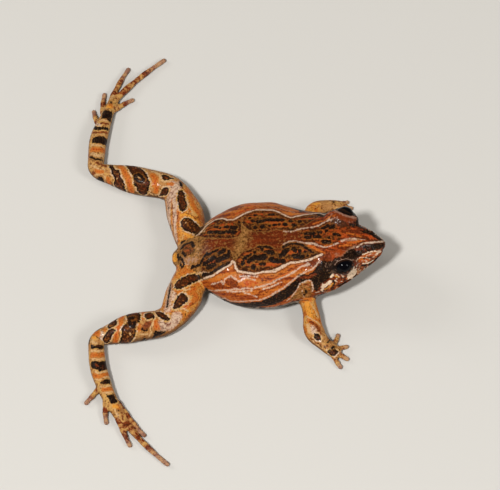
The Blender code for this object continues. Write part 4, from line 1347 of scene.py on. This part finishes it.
    @staticmethod
    def from_line(points: np.ndarray, line: np.ndarray) -> np.ndarray:
        """Return the distance of points from a line in space."""
        best = np.full(len(points), np.inf)
        for a, b in zip(line, line[1:]):
            way = b - a
            share = np.clip((points - a) @ way / (way @ way), 0.0, 1.0)
            best = np.minimum(best, np.linalg.norm(points - a - share[:, None] * way, axis=1))
        return best

    def raise_relief(self, surface: Surface, pattern: "Pattern",
                     layers: dict[Layer, np.ndarray]) -> None:
        """Raise the folds under the pale lines, the soft swells of the flesh and the grains."""
        points = surface.points
        on_trunk = ramp(pattern.limb, 0.2, -0.2)
        swell = 0.05 * wander(points, 2.3, 11) + 0.02 * wander(points, 0.9, 23)
        fold = self.line_fold * hill(layers[Layer.LINE], 0.28)
        fold += self.thin_fold * hill(layers[Layer.THIN], 0.2)
        wart = self.spot_wart * ramp(layers[Layer.SPOT], 0.1, -0.2)
        wart += self.ring_wart * ramp(layers[Layer.RING], 0.1, -0.3)
        crown = ramp(pattern.places[0].run, 17.0, 20.0) * (layers[Layer.BAND] > 0.0)
        size = np.where(pattern.limb > 0.0, 0.55, 1.0 + 0.7 * crown)
        fine = self.grain_height * size * (grains(points, self.grain_size, 5) - 0.4)
        belly = ramp(surface.normals()[:, 2], -0.1, -0.6) * on_trunk
        coarse = self.belly_grain_height * belly * (grains(points, self.belly_grain_size, 9) - 0.4)
        surface.push(swell * on_trunk + fold + wart + fine * (1.0 - belly) + coarse)
        surface.relax(np.full(surface.count, 0.25), 1)

    def store(self, surface: Surface, pattern: "Pattern", layers: dict[Layer, np.ndarray]) -> None:
        """Store the pattern and the places on the skin for the material."""
        for layer, values in layers.items():
            surface.keep(layer.value, values)
        trunk = pattern.places[0]
        surface.keep("limb", pattern.limb)
        surface.keep("run", pattern.run)
        surface.keep("girth", pattern.girth)
        surface.keep("end", pattern.end)
        surface.keep("flank", pattern.outside())
        surface.keep("low", self.below_widest(trunk))
        surface.keep("lid", self.from_lids(surface.points))
        surface.keep("under", -surface.normals()[:, 2])


class Pattern:
    """The marks laid on the skin by the camera's rays."""

    far = 9.0
    layer_depth = 2.2

    def __init__(self, surface: Surface, view: View, forms: list[Any], places: list[Places]) -> None:
        """Find the form that each point belongs to and lay every mark.

        Args:
            surface: The skin.
            view: The photograph's view.
            forms: The trunk first, then the limbs and digits.
            places: Where the skin's points lie on each form.
        """
        self.surface, self.view, self.forms, self.places = surface, view, forms, places
        gaps = np.stack([place.gap for place in places])
        self.owner = np.argmin(gaps, axis=0)
        self.limb = np.clip(gaps[0] - gaps[1:].min(axis=0), -3.0, 3.0)
        every = np.arange(surface.count)
        self.run = np.stack([place.run for place in places])[self.owner, every]
        self.girth = np.stack([place.girth for place in places])[self.owner, every]
        spans = np.array([np.inf, *(form.length * form.share for form in forms[1:])])
        digit = np.array([isinstance(form, Digit) for form in forms])
        self.end = digit[self.owner] + self.run / spans[self.owner]
        polygons = [tuple(face.vertices) for face in surface.mesh.polygons]
        self.tree = BVHTree.FromPolygons(surface.points.tolist(), polygons)
        self.marks = [(mark, *self.lay(mark.points)) for mark in MARKS]

    def lay(self, pixels: Points) -> tuple[int, np.ndarray]:
        """Lay pixels on the skin.

        Args:
            pixels: Pixels of the photograph.

        Returns:
            The form that carries most of them, and their (run, girth) on it.
        """
        hits = []
        for pixel in pixels:
            hit, _, _, _ = self.tree.ray_cast(Vector(self.view.eye()), Vector(self.view.ray(pixel)))
            if hit is None:
                hit, _, _, _ = self.tree.find_nearest(self.nearest_on_ray(pixel))
            hits.append(tuple(hit))
        hits = np.array(hits)
        found = [form.locate(hits) for form in self.forms]
        gaps = np.stack([place.gap for place in found])
        owner = int(np.bincount(np.argmin(gaps, axis=0)).argmax())
        return owner, np.stack([found[owner].run, found[owner].girth], axis=1)

    def nearest_on_ray(self, pixel: Sequence[float]) -> Vector:
        """Return the place where a pixel's ray, which misses the skin, passes closest to it."""
        way = self.view.ray(pixel)
        offset = self.surface.points[::7] - self.view.eye()
        along = offset @ way
        away = np.linalg.norm(offset - along[:, None] * way, axis=1)
        return Vector(self.view.eye() + way * along[np.argmin(away)])

    def distance(self, layer: Layer) -> np.ndarray:
        """Return each point's distance to the marks of a layer, below zero inside them."""
        best = np.full(self.surface.count, self.far)
        for mark, owner, line in self.marks:
            if mark.layer is not layer:
                continue
            for side in (1.0, -1.0) if mark.mirrored else (1.0,):
                self.take_in(best, owner, line * (1.0, side), mark)
        return best

    def take_in(self, best: np.ndarray, owner: int, line: np.ndarray, mark: Mark) -> None:
        """Bring one laid mark into a layer's distances."""
        place = self.places[owner]
        low, high = line.min(axis=0) - 1.5, line.max(axis=0) + 1.5
        near = (place.run > low[0]) & (place.run < high[0]) & (place.girth > low[1])
        near &= (place.girth < high[1]) & (np.abs(place.gap) < self.layer_depth)
        near = np.flatnonzero(near)
        spot = np.stack([place.run[near], place.girth[near]], axis=1)
        found = stroke_distance(spot, line, mark.closed) - mark.width * PIXEL
        best[near] = np.minimum(best[near], found)

    def outside(self) -> np.ndarray:
        """Return how far outside the pale outer lines points lie, over the skin."""
        place = self.places[0]
        values = np.zeros(self.surface.count)
        for pixels, side in ((OUTER_LEFT, 1.0), (OUTER_RIGHT, -1.0)):
            _, line = self.lay(pixels)
            order = np.argsort(line[:, 0])
            edge = np.interp(place.run, line[order, 0], np.abs(line[order, 1]))
            values = np.where(place.girth * side > 0.0, np.abs(place.girth) - edge, values)
        return values


class Value:
    """A shader value that works in Python expressions."""

    def __init__(self, net: "Net", socket: bpy.types.NodeSocket) -> None:
        """Wrap a socket."""
        self.net, self.socket = net, socket

    def math(self, operation: str, *others: Any) -> "Value":
        """Return a Math node of this value and others."""
        inputs = {k: item for k, item in enumerate((self, *others))}
        return self.net.node("Math", {"operation": operation}, inputs)

    def __add__(self, other: Any) -> "Value":
        """Add."""
        return self.math("ADD", other)

    __radd__ = __add__

    def __sub__(self, other: Any) -> "Value":
        """Subtract."""
        return self.math("SUBTRACT", other)

    def __rsub__(self, other: Any) -> "Value":
        """Subtract from a number."""
        return (self * -1.0) + other

    def __mul__(self, other: Any) -> "Value":
        """Multiply."""
        return self.math("MULTIPLY", other)

    __rmul__ = __mul__

    def smaller(self, other: Any) -> "Value":
        """Return the smaller of two values."""
        return self.math("MINIMUM", other)

    def larger(self, other: Any) -> "Value":
        """Return the larger of two values."""
        return self.math("MAXIMUM", other)

    def rise(self, low: float, high: float) -> "Value":
        """Return 0 at low and 1 at high, eased; low may be the larger."""
        inputs = {0: self, 1: low, 2: high, 3: 0.0, 4: 1.0}
        return self.net.node("MapRange", {"interpolation_type": "SMOOTHSTEP"}, inputs)

    def near(self, width: float) -> "Value":
        """Return 1 at zero, falling to 0 at a width on either side."""
        return self.math("ABSOLUTE").rise(width, 0.0)


class Net:
    """The nodes of one material."""

    def __init__(self, name: str) -> None:
        """Start a material with only its output.

        Args:
            name: The material's name.
        """
        self.material = bpy.data.materials.new(name)
        self.material.use_nodes = True
        self.tree = self.material.node_tree
        self.tree.nodes.clear()

    def node(self, kind: str, settings: dict[str, Any] | None = None,
             inputs: dict[Any, Any] | None = None, out: Any = 0) -> Value:
        """Add a node.

        Args:
            kind: The node's type, without its common beginning.
            settings: Its settings, set first.
            inputs: Values or links by socket name or number.
            out: The output to return.

        Returns:
            The chosen output.
        """
        item = self.tree.nodes.new(f"ShaderNode{kind}")
        for name, value in (settings or {}).items():
            setattr(item, name, value)
        for key, value in (inputs or {}).items():
            if isinstance(value, Value):
                self.tree.links.new(value.socket, item.inputs[key])
            elif isinstance(value, tuple) and len(item.inputs[key].default_value) == 4:
                item.inputs[key].default_value = (*value, 1.0)
            else:
                item.inputs[key].default_value = value
        return Value(self, item.outputs[out])

    def mix(self, factor: Any, a: Any, b: Any) -> Value:
        """Mix two colours."""
        settings = {"data_type": "RGBA", "clamp_factor": True}
        return self.node("Mix", settings, {0: factor, 6: a, 7: b}, 2)

    def read(self, name: str) -> Value:
        """Read a value stored on the mesh."""
        return self.node("Attribute", {"attribute_name": name}, out="Fac")

    def place(self) -> Value:
        """Return the place on the object, in metres."""
        return self.node("TexCoord", out="Object")

    def noise(self, size: float, detail: float = 2.0, where: Value | None = None) -> Value:
        """Return noise round zero whose blots are about a size in millimetres."""
        scale = 1.0 / (size * MM) if where is None else 1.0 / size
        inputs = {"Vector": where or self.place(), "Scale": scale, "Detail": detail}
        return self.node("TexNoise", None, inputs, "Fac") - 0.5

    def surface(self, colour: Value, rough: Any, normal: Value | None, **fixed: Any) -> None:
        """Finish the material with one shader.

        Args:
            colour: Its colour.
            rough: Its roughness.
            normal: Its bumped normal, if any.
            fixed: Other sockets by name, with _ for a space.
        """
        inputs = {name.replace("_", " "): value for name, value in fixed.items()}
        inputs |= {"Base Color": colour, "Roughness": rough}
        if normal is not None:
            inputs["Normal"] = normal
        shader = self.node("BsdfPrincipled", None, inputs)
        self.node_to_output(shader)

    def node_to_output(self, shader: Value) -> None:
        """Link the shader to the material's output."""
        item = self.tree.nodes.new("ShaderNodeOutputMaterial")
        self.tree.links.new(shader.socket, item.inputs["Surface"])


@dataclass(frozen=True)
class SkinFinish:
    """The moist, patterned skin, with the animal's colours by name."""

    cream: tuple[float, ...] = (0.60, 0.43, 0.31)
    ivory: tuple[float, ...] = (0.88, 0.66, 0.46)
    tan: tuple[float, ...] = (0.40, 0.18, 0.055)
    orange: tuple[float, ...] = (0.50, 0.135, 0.017)
    fire: tuple[float, ...] = (0.44, 0.062, 0.009)
    rust: tuple[float, ...] = (0.27, 0.043, 0.006)
    umber: tuple[float, ...] = (0.158, 0.024, 0.004)
    wine: tuple[float, ...] = (0.115, 0.017, 0.004)
    brown: tuple[float, ...] = (0.044, 0.012, 0.003)
    olive: tuple[float, ...] = (0.22, 0.076, 0.011)
    sand: tuple[float, ...] = (0.24, 0.11, 0.026)
    pink: tuple[float, ...] = (0.088, 0.013, 0.003)
    black: tuple[float, ...] = (0.006, 0.003, 0.002)
    grey: tuple[float, ...] = (0.26, 0.20, 0.15)
    straw: tuple[float, ...] = (0.55, 0.30, 0.085)
    ash: tuple[float, ...] = (0.38, 0.22, 0.15)
    gold: tuple[float, ...] = (0.66, 0.27, 0.035)
    crinkle: float = 0.16
    light_dust: float = 0.22
    dark_dust: float = 0.55
    rough: float = 0.42
    rough_change: float = 0.3
    wet: float = 0.04
    wet_spots: float = 0.20
    bump_strength: float = 0.85
    bump_depth: float = 0.05

    def dress(self, item: bpy.types.Object) -> None:
        """Give the skin its material."""
        net = Net("froglet_skin")
        sheet = SkinSheet(net, self)
        trunk, limbs = sheet.trunk(), sheet.limbs()
        colour = net.mix((net.read("limb") + sheet.edge).rise(-0.08, 0.08), trunk, limbs)
        colour = sheet.marks_over(colour)
        colour = net.mix(sheet.fine.rise(0.05, 0.18) * self.light_dust, colour, self.tan)
        colour = net.mix(sheet.fine.rise(-0.03, -0.16) * self.dark_dust, colour, self.brown)
        colour = sheet.lids(colour)
        rough = self.rough + sheet.speck * self.rough_change
        height = sheet.fine + net.noise(0.4, 2.0) * 0.7
        bump = net.node("Bump", None, {
            "Strength": self.bump_strength, "Distance": self.bump_depth * MM, "Height": height})
        wet = self.wet + sheet.speck.rise(0.02, 0.16) * self.wet_spots
        net.surface(colour, rough, bump, Coat_Weight=wet, Coat_Roughness=0.08, Specular_IOR_Level=0.06)
        item.data.materials.clear()
        item.data.materials.append(net.material)


class SkinSheet:
    """The layers of the skin's colour, all laid with the same few noises.

    Attributes:
        rump_back, rump_flank: Where the sandy rump gives way to the back and flanks, in run.
        crown_from, throat_from, face_from: Where the crown, throat and face take over, in run.
        outer_from, toes_from, tips_from: Where the outer limb, toes and tips start, in limb lengths.
    """

    rump_back = (4.6, 2.4)
    rump_flank = (3.4, 2.4)
    crown_from = (15.4, 18.4)
    throat_from = (15.0, 18.0)
    face_from = (17.2, 18.4)
    outer_from = (0.26, 0.36)
    toes_from = (0.96, 1.04)
    tips_from = (1.6, 1.95)

    def __init__(self, net: Net, tone: SkinFinish) -> None:
        """Read the pattern and lay out the noises.

        Args:
            net: The material's nodes.
            tone: The colours.
        """
        self.net, self.tone = net, tone
        self.edge = net.noise(0.24, 3.0) * (tone.crinkle * 2.8) + net.noise(0.9, 1.0) * tone.crinkle
        self.fine = net.noise(0.17, 3.0)
        self.speck = net.noise(0.34, 3.0)
        self.blot = net.noise(1.1, 2.0)
        self.run, self.girth = net.read("run"), net.read("girth")
        self.marks = {layer: net.read(layer.value) + self.edge for layer in Layer}

    def streaks(self, size: float, along: float, across: float) -> Value:
        """Return noise drawn out along the form."""
        inputs = {0: self.run * along, 1: self.girth * across, 2: 0.0}
        return self.net.noise(size, 3.0, self.net.node("CombineXYZ", None, inputs))

    def trunk(self) -> Value:
        """Colour the trunk and head under the small marks, with painted shade low on the flanks."""
        mix, tone, speck, blot, run = self.net.mix, self.tone, self.speck, self.blot, self.run
        streak = self.streaks(0.8, 0.22, 1.5)
        flank = mix((streak + speck * 0.3).rise(-0.12, 0.06), tone.rust, tone.orange)
        flank = mix((streak + speck * 0.4).rise(0.10, 0.20) * 0.7, flank, tone.tan)
        flank = mix((streak + speck * 0.5).rise(-0.08, -0.16) * 0.75, flank, tone.wine)
        # painted shade: the flank darkens to rust lower down, towards and below its widest line
        flank = mix((self.net.read("low") + blot * 1.5).rise(-2.6, -0.6) * 0.35, flank, tone.rust)
        spine = mix((streak + speck * 0.5).rise(-0.15, 0.2), tone.pink, tone.umber)
        spine = mix((speck + blot * 0.6).rise(0.04, 0.16) * 0.6, spine, tone.sand)
        spine = mix(speck.rise(-0.08, -0.2) * 0.55, spine, tone.brown)
        sandy = mix(speck.rise(0.0, 0.16), tone.sand, tone.tan)
        sandy = mix(speck.rise(-0.02, -0.14) * 0.75, sandy, tone.brown)
        back = self.lay(spine, Layer.SAND, 0.9, -0.7, sandy, 0.9)
        back = mix((run + blot * 2.5).rise(*self.rump_back), back, sandy)
        flank = mix((run + blot * 2.0).rise(*self.rump_flank), flank, sandy)
        flank = self.lay(flank, Layer.SAND, 0.2, -0.2, sandy, 0.9)
        crown = mix(streak.rise(-0.10, 0.14), tone.wine, tone.umber)
        crown = mix((streak + speck * 0.5).rise(0.04, 0.18) * 0.7, crown, tone.fire)
        crown = mix((speck + streak * 0.5).rise(-0.04, -0.14) * 0.7, crown, tone.brown)
        base = mix((self.net.read("flank") + self.edge).rise(-0.05, 0.05), back, flank)
        base = mix((run + blot * 4.0).rise(*self.crown_from), base, crown)
        base = self.jaws_and_belly(base)
        return self.panels(base, streak)

    def jaws_and_belly(self, base: Value) -> Value:
        """Lay the mottled cheeks and lips and the underside over the trunk's colour."""
        mix, tone, speck, blot, run = self.net.mix, self.tone, self.speck, self.blot, self.run
        low = self.net.read("low") + self.edge * 0.6
        patches = self.net.noise(0.75, 2.0)
        cheek = mix((patches + speck * 0.5).rise(-0.08, 0.04), tone.brown, tone.rust)
        cheek = mix((patches + speck * 0.5).rise(0.06, 0.14), cheek, tone.tan)
        cheek = mix((patches + speck * 0.6).rise(0.14, 0.20), cheek, tone.cream)
        face = run.rise(*self.face_from) * low.rise(-1.5, -1.0)
        base = mix(face, base, cheek)
        ground = mix((self.net.noise(0.7, 3.0) + speck * 0.3).rise(-0.03, 0.04), tone.grey, tone.black)
        throat = mix((blot + speck * 0.8).rise(-0.06, 0.04), tone.grey, tone.brown)
        belly = mix(run.rise(*self.throat_from), ground, throat)
        return mix((low + blot * 1.2).rise(0.25, 0.6), base, belly)

    def panels(self, base: Value, streak: Value) -> Value:
        """Lay the dark panels of the back, the panel of the head and the bands of the flanks."""
        mix, tone, speck = self.net.mix, self.tone, self.speck
        fill = mix((speck + streak * 0.4).rise(-0.01, 0.09), tone.brown, tone.olive)
        fill = mix((streak - speck * 0.5).rise(0.03, 0.10) * 0.8, fill, tone.fire)
        panel = self.marks[Layer.PANEL]
        base = mix(panel.rise(0.22, 0.06) * 0.6, base, tone.sand)
        base = mix(panel.rise(0.05, -0.05), base, fill)
        border = panel.rise(-0.42, -0.10) * panel.rise(0.05, -0.03)
        base = mix(border * 0.8, base, mix(speck.rise(-0.1, 0.15), tone.black, tone.wine))
        lens = self.marks[Layer.LENS]
        inside = mix((speck + streak).rise(-0.08, 0.15), tone.brown, tone.rust)
        base = mix(lens.rise(0.04, -0.04) * 0.85, base, inside)
        return mix((lens + 0.03).near(0.13) * 0.75, base, tone.brown)

    def limbs(self) -> Value:
        """Colour the legs and arms under the small marks, with painted shade on their sides that face
        down.
        """
        mix, tone, speck = self.net.mix, self.tone, self.speck
        streak = self.streaks(1.1, 0.8, 1.3)
        end = self.net.read("end")
        gold = mix(streak.rise(-0.10, 0.10), tone.gold, tone.orange)
        gold = mix((speck - streak).rise(0.04, 0.20) * 0.7, gold, tone.tan)
        outer = mix((speck + streak * 0.5 + (end - 0.6) * 0.3).rise(-0.06, 0.18), tone.tan, tone.straw)
        patches = self.net.noise(0.8, 2.0)
        gold = mix((patches + speck * 0.5).rise(0.03, 0.12) * 0.8, gold, tone.straw)
        gold = mix((patches + speck * 0.2 + 0.04).near(0.03) * 0.6, gold, tone.rust)
        base = mix((end + speck * 0.1).rise(*self.outer_from), gold, outer)
        base = mix(speck.rise(-0.04, -0.14) * 0.6, base, tone.olive)
        base = mix((speck - streak * 0.5).rise(-0.10, -0.20) * 0.7, base, tone.brown)
        # painted shade: the limbs turn brown where their surface faces sideways or down
        base = mix((self.net.read("under") + speck * 0.6).rise(-0.45, 0.05) * 0.75, base, tone.brown)
        bars = self.streaks(1.0, 1.0, 0.15)
        toes = mix((bars + speck * 0.5).rise(-0.05, 0.03), tone.umber, tone.tan)
        toes = mix((bars + speck * 0.4).rise(0.04, 0.10) * 0.8, toes, tone.straw)
        toes = mix((bars + speck * 0.6).rise(-0.10, -0.16) * 0.8, toes, tone.brown)
        toes = mix(end.rise(*self.tips_from) * 0.6, toes, tone.ash)
        base = mix((end + speck * 0.1).rise(*self.toes_from), base, toes)
        sole = mix(self.net.noise(0.5, 3.0).rise(-0.03, 0.08), tone.grey, tone.brown)
        return mix(self.net.read("under").rise(0.2, 0.65), base, sole)

    def lay(self, colour: Value, layer: Layer, outer: float, inner: float, tone: Any,
            share: float = 1.0) -> Value:
        """Lay a tone over a colour inside a layer's marks.

        Args:
            colour: The colour below.
            layer: The layer.
            outer: The distance from its marks at which the tone starts.
            inner: The distance at which it is full.
            tone: The tone.
            share: How much of it is laid.

        Returns:
            The colour with the tone over it.
        """
        inside = self.marks[layer].rise(outer, inner)
        return self.net.mix(inside * share if share < 1.0 else inside, colour, tone)

    def marks_over(self, colour: Value) -> Value:
        """Lay the marks that the trunk and limbs share over a colour."""
        mix, tone, speck, blot, marks = self.net.mix, self.tone, self.speck, self.blot, self.marks
        limb = self.net.read("limb").rise(-0.1, 0.1)
        ash = mix(speck.rise(-0.15, 0.1), tone.tan, tone.ash)
        ash = mix(limb, ash, mix(speck.rise(-0.12, 0.08), tone.ash, tone.cream))
        colour = self.lay(colour, Layer.ASH, 0.25, -0.1, ash, 0.9)
        fire = marks[Layer.FIRE]
        colour = mix((fire - limb * 0.16).rise(0.08, -0.08) * 0.9, colour, tone.orange)
        ember = mix(speck.rise(-0.12, 0.14), tone.fire, tone.orange)
        colour = mix((fire + limb * 0.04).rise(0.0, -0.12), colour, ember)
        glow = mix(speck.rise(-0.14, 0.06), tone.rust, tone.fire)
        colour = self.lay(colour, Layer.EMBER, 0.10, -0.10, glow)
        colour = self.lay(colour, Layer.GOLD, 0.10, -0.10, tone.gold)
        dark = mix((blot + speck * 0.5).rise(0.12, 0.24) * 0.35, tone.black, tone.wine)
        colour = self.lay(colour, Layer.BAND, 0.04, -0.04, dark)
        wine = mix(speck.rise(-0.1, 0.2), tone.wine, tone.rust)
        colour = self.lay(colour, Layer.WINE, 0.05, -0.06, wine, 0.9)
        colour = self.lay(colour, Layer.THIN, 0.07, -0.05, tone.cream, 0.75)
        ring = marks[Layer.RING]
        halo = mix(speck.rise(-0.08, 0.14), tone.straw, tone.cream)
        colour = mix(ring.rise(0.32, 0.18), colour, halo)
        colour = mix(ring.rise(0.12, 0.04), colour, mix(speck.rise(0.02, 0.2), tone.black, tone.brown))
        heart = mix(speck.rise(-0.02, 0.16), tone.brown, tone.umber)
        heart = mix((speck + blot * 0.5).rise(0.08, 0.18) * 0.8, heart, tone.olive)
        colour = mix(ring.rise(-0.06, -0.20) * 0.9, colour, heart)
        pale = mix(limb * 0.7, mix(speck.rise(-0.26, 0.02), tone.tan, tone.cream), tone.straw)
        face = self.run.rise(*self.face_from) * (1.0 - limb)
        pale = mix(face * 0.8, pale, tone.ivory)
        colour = self.lay(colour, Layer.PALE, 0.06, -0.06, pale)
        spot = marks[Layer.SPOT]
        colour = mix((spot - 0.18).near(0.13) * 0.5, colour, tone.olive)
        colour = mix(spot.rise(0.11, 0.04), colour, tone.black)
        line = self.net.read("line") + self.edge * 0.5
        colour = mix((line - 0.10).near(0.14) * 0.6, colour, tone.brown)
        return mix(line.rise(0.06, -0.04), colour, mix(speck.rise(-0.25, 0.0), tone.tan, tone.cream))

    def lids(self, colour: Value) -> Value:
        """Darken the lids round each eye with painted shade and lay their pale rim as a painted highlight.
        """
        mix, tone, under = self.net.mix, self.tone, self.net.read("under")
        lid = self.net.read("lid") + self.edge * 0.3
        # painted shade: the skin is browned close round each opening
        colour = mix(lid.rise(0.7, 0.2) * 0.12, colour, tone.brown)
        clear = self.marks[Layer.BAND].rise(-0.05, 0.10).larger(self.girth.rise(0.0, 0.5))
        colour = mix(lid.rise(1.7, 0.9) * under.rise(-0.55, -0.85) * clear * 0.4, colour, tone.rust)
        # pale granules on the lids: partly the skin's own pale grains, partly painted glints
        colour = mix(lid.rise(1.8, 0.5) * self.speck.rise(0.06, 0.14) * 0.35, colour, tone.ash)
        # painted shade: black on the lid near the opening wherever it does not face up
        colour = mix(lid.rise(0.45, 0.15) * under.rise(-0.75, -0.35) * 0.9, colour, tone.black)
        # painted highlight: the pale rim is laid only where the lid faces up
        rim = (lid - 0.08).near(0.08) * under.rise(-0.55, -0.75)
        colour = mix(rim * 0.7, colour, tone.ash)
        # painted shade: black in the recess of the opening round the eyeball
        return mix(lid.rise(0.03, 0.0), colour, tone.black)


@dataclass(frozen=True)
class EyeFinish:
    """The dark eye: a black oval pupil in a brown iris under a clear coat."""

    pupil: tuple[float, ...] = (0.001, 0.001, 0.002)
    iris: tuple[float, ...] = (0.014, 0.006, 0.003)
    fleck: tuple[float, ...] = (0.030, 0.011, 0.004)
    rim: tuple[float, ...] = (0.004, 0.002, 0.002)
    rough: float = 0.10
    coat: float = 0.14

    def material(self) -> bpy.types.Material:
        """Return the eye's material."""
        net = Net("froglet_eye")
        pupil, ring = net.read("pupil"), net.read("ring")
        fleck = net.noise(0.12, 4.0)
        iris = net.mix((fleck + (pupil - 1.0).near(0.5) * 0.12).rise(0.04, 0.2), self.iris, self.fleck)
        colour = net.mix(ring.rise(0.62, 0.95), iris, self.rim)
        colour = net.mix((pupil + fleck * 0.08).rise(1.02, 0.94), colour, self.pupil)
        net.surface(colour, self.rough + fleck * 0.04, None, Coat_Weight=self.coat,
                    Coat_Roughness=0.02, Specular_IOR_Level=0.05)
        return net.material


@dataclass
class Eye:
    """One eyeball: a ball with a clear bulge over its oval pupil."""

    site: EyeSite
    side: int
    sides: int = 96
    levels: int = 64
    pupil_long: float = 0.72
    pupil_high: float = 0.52
    bulge: float = 0.07
    bulge_edge: tuple[float, float] = (0.82, 0.98)

    def build(self, finish: EyeFinish) -> bpy.types.Object:
        """Build the eye round its gaze and dress it.

        Args:
            finish: Its finish.

        Returns:
            The eye as an object in metres.
        """
        ahead, level, upward = self.site.axes(self.side)
        turn = 2.0 * np.pi * np.arange(self.sides) / self.sides
        tilts = np.pi * (np.arange(self.levels) + 0.5) / self.levels
        shells = Shells()
        rings = []
        for tilt in reversed(tilts):
            out, front = np.sin(tilt), np.cos(tilt)
            way = np.outer(np.cos(turn) * out, level) + np.outer(np.sin(turn) * out, upward)
            rings.append(way + front * ahead)
        shape = np.concatenate(rings)
        front = shape @ ahead
        lift = 1.0 + self.bulge * ramp(front, *self.bulge_edge)
        points = self.site.centre(self.side) + shape * np.array(self.site.ball_radii) * lift[:, None]
        shells.loft(np.split((points - MIDDLE) * MM, self.levels))
        name = "eye_ball_left" if self.side > 0 else "eye_ball_right"
        mesh = shells.mesh(name)
        surface = Surface(mesh)
        along = shape @ level
        high = shape @ upward
        pupil = np.hypot(along / self.pupil_long, high / self.pupil_high)
        surface.keep("pupil", np.where(front > 0.0, pupil, Pattern.far))
        surface.keep("ring", np.arccos(np.clip(front, -1.0, 1.0)))
        mesh.shade_smooth()
        mesh.materials.append(finish.material())
        item = bpy.data.objects.new(name, mesh)
        bpy.context.scene.collection.objects.link(item)
        return item


@dataclass(frozen=True)
class Studio:
    """The plain pale floor and the soft studio light."""

    floor_half: float = 2.0
    floor_colour: tuple[float, ...] = (0.62, 0.60, 0.56)
    floor_cloud: tuple[float, ...] = (0.66, 0.64, 0.60)
    floor_rough: float = 0.7
    sky: tuple[float, ...] = (1.0, 0.93, 0.82)
    sky_strength: float = 0.20
    lamps: tuple[tuple[tuple[float, float, float], float, float], ...] = (
        ((-0.18, -0.30, 0.56), 0.08, 3.6),
        ((0.42, -0.22, 0.38), 0.20, 1.1),
        ((-0.48, 0.20, 0.30), 0.22, 0.7),
    )

    def build(self) -> bpy.types.Object:
        """Build the floor, sky and lamps.

        Returns:
            The floor.
        """
        half = self.floor_half
        mesh = bpy.data.meshes.new("floor")
        corners = [(-half, -half, 0.0), (half, -half, 0.0), (half, half, 0.0), (-half, half, 0.0)]
        mesh.from_pydata(corners, [], [(0, 1, 2, 3)])
        net = Net("studio_floor")
        tone = net.noise(60.0, 2.0).rise(-0.3, 0.3)
        colour = net.mix(tone * 0.15, self.floor_colour, self.floor_cloud)
        net.surface(colour, self.floor_rough, None)
        mesh.materials.append(net.material)
        floor = bpy.data.objects.new("floor", mesh)
        bpy.context.scene.collection.objects.link(floor)
        world = bpy.data.worlds.new("studio")
        world.use_nodes = True
        sky = world.node_tree.nodes["Background"]
        sky.inputs["Color"].default_value = (*self.sky, 1.0)
        sky.inputs["Strength"].default_value = self.sky_strength
        bpy.context.scene.world = world
        for number, (place, size, power) in enumerate(self.lamps):
            self.lamp(f"lamp_{number}", Vector(place), size, power)
        return floor

    def lamp(self, name: str, place: Vector, size: float, power: float) -> None:
        """Hang one soft lamp that faces the animal."""
        data = bpy.data.lights.new(name, "AREA")
        data.energy = power
        data.shape = "DISK"
        data.size = size
        item = bpy.data.objects.new(name, data)
        item.location = place
        item.rotation_euler = place.to_track_quat("Z", "Y").to_euler()
        bpy.context.scene.collection.objects.link(item)


def report(item: bpy.types.Object) -> None:
    """Log one finished piece."""
    LOG.info("%s: %d faces", item.name, len(item.data.polygons))


def main() -> None:
    """Build the froglet and its studio."""
    logging.basicConfig(level=logging.INFO, format="%(name)s: %(message)s")
    view, site = View(), EyeSite()
    view.camera()
    Studio().build()
    bpy.context.scene.view_settings.view_transform = "Standard"
    skin = Skin(view, site).build()
    SkinFinish().dress(skin)
    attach(skin, "root")
    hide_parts(*FLESH)
    report(skin)
    for side, node in ((1, "eye_left"), (-1, "eye_right")):
        eye = Eye(site, side).build(EyeFinish())
        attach(eye, "root")
        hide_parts(node)
        report(eye)


if __name__ == "__main__":
    main()
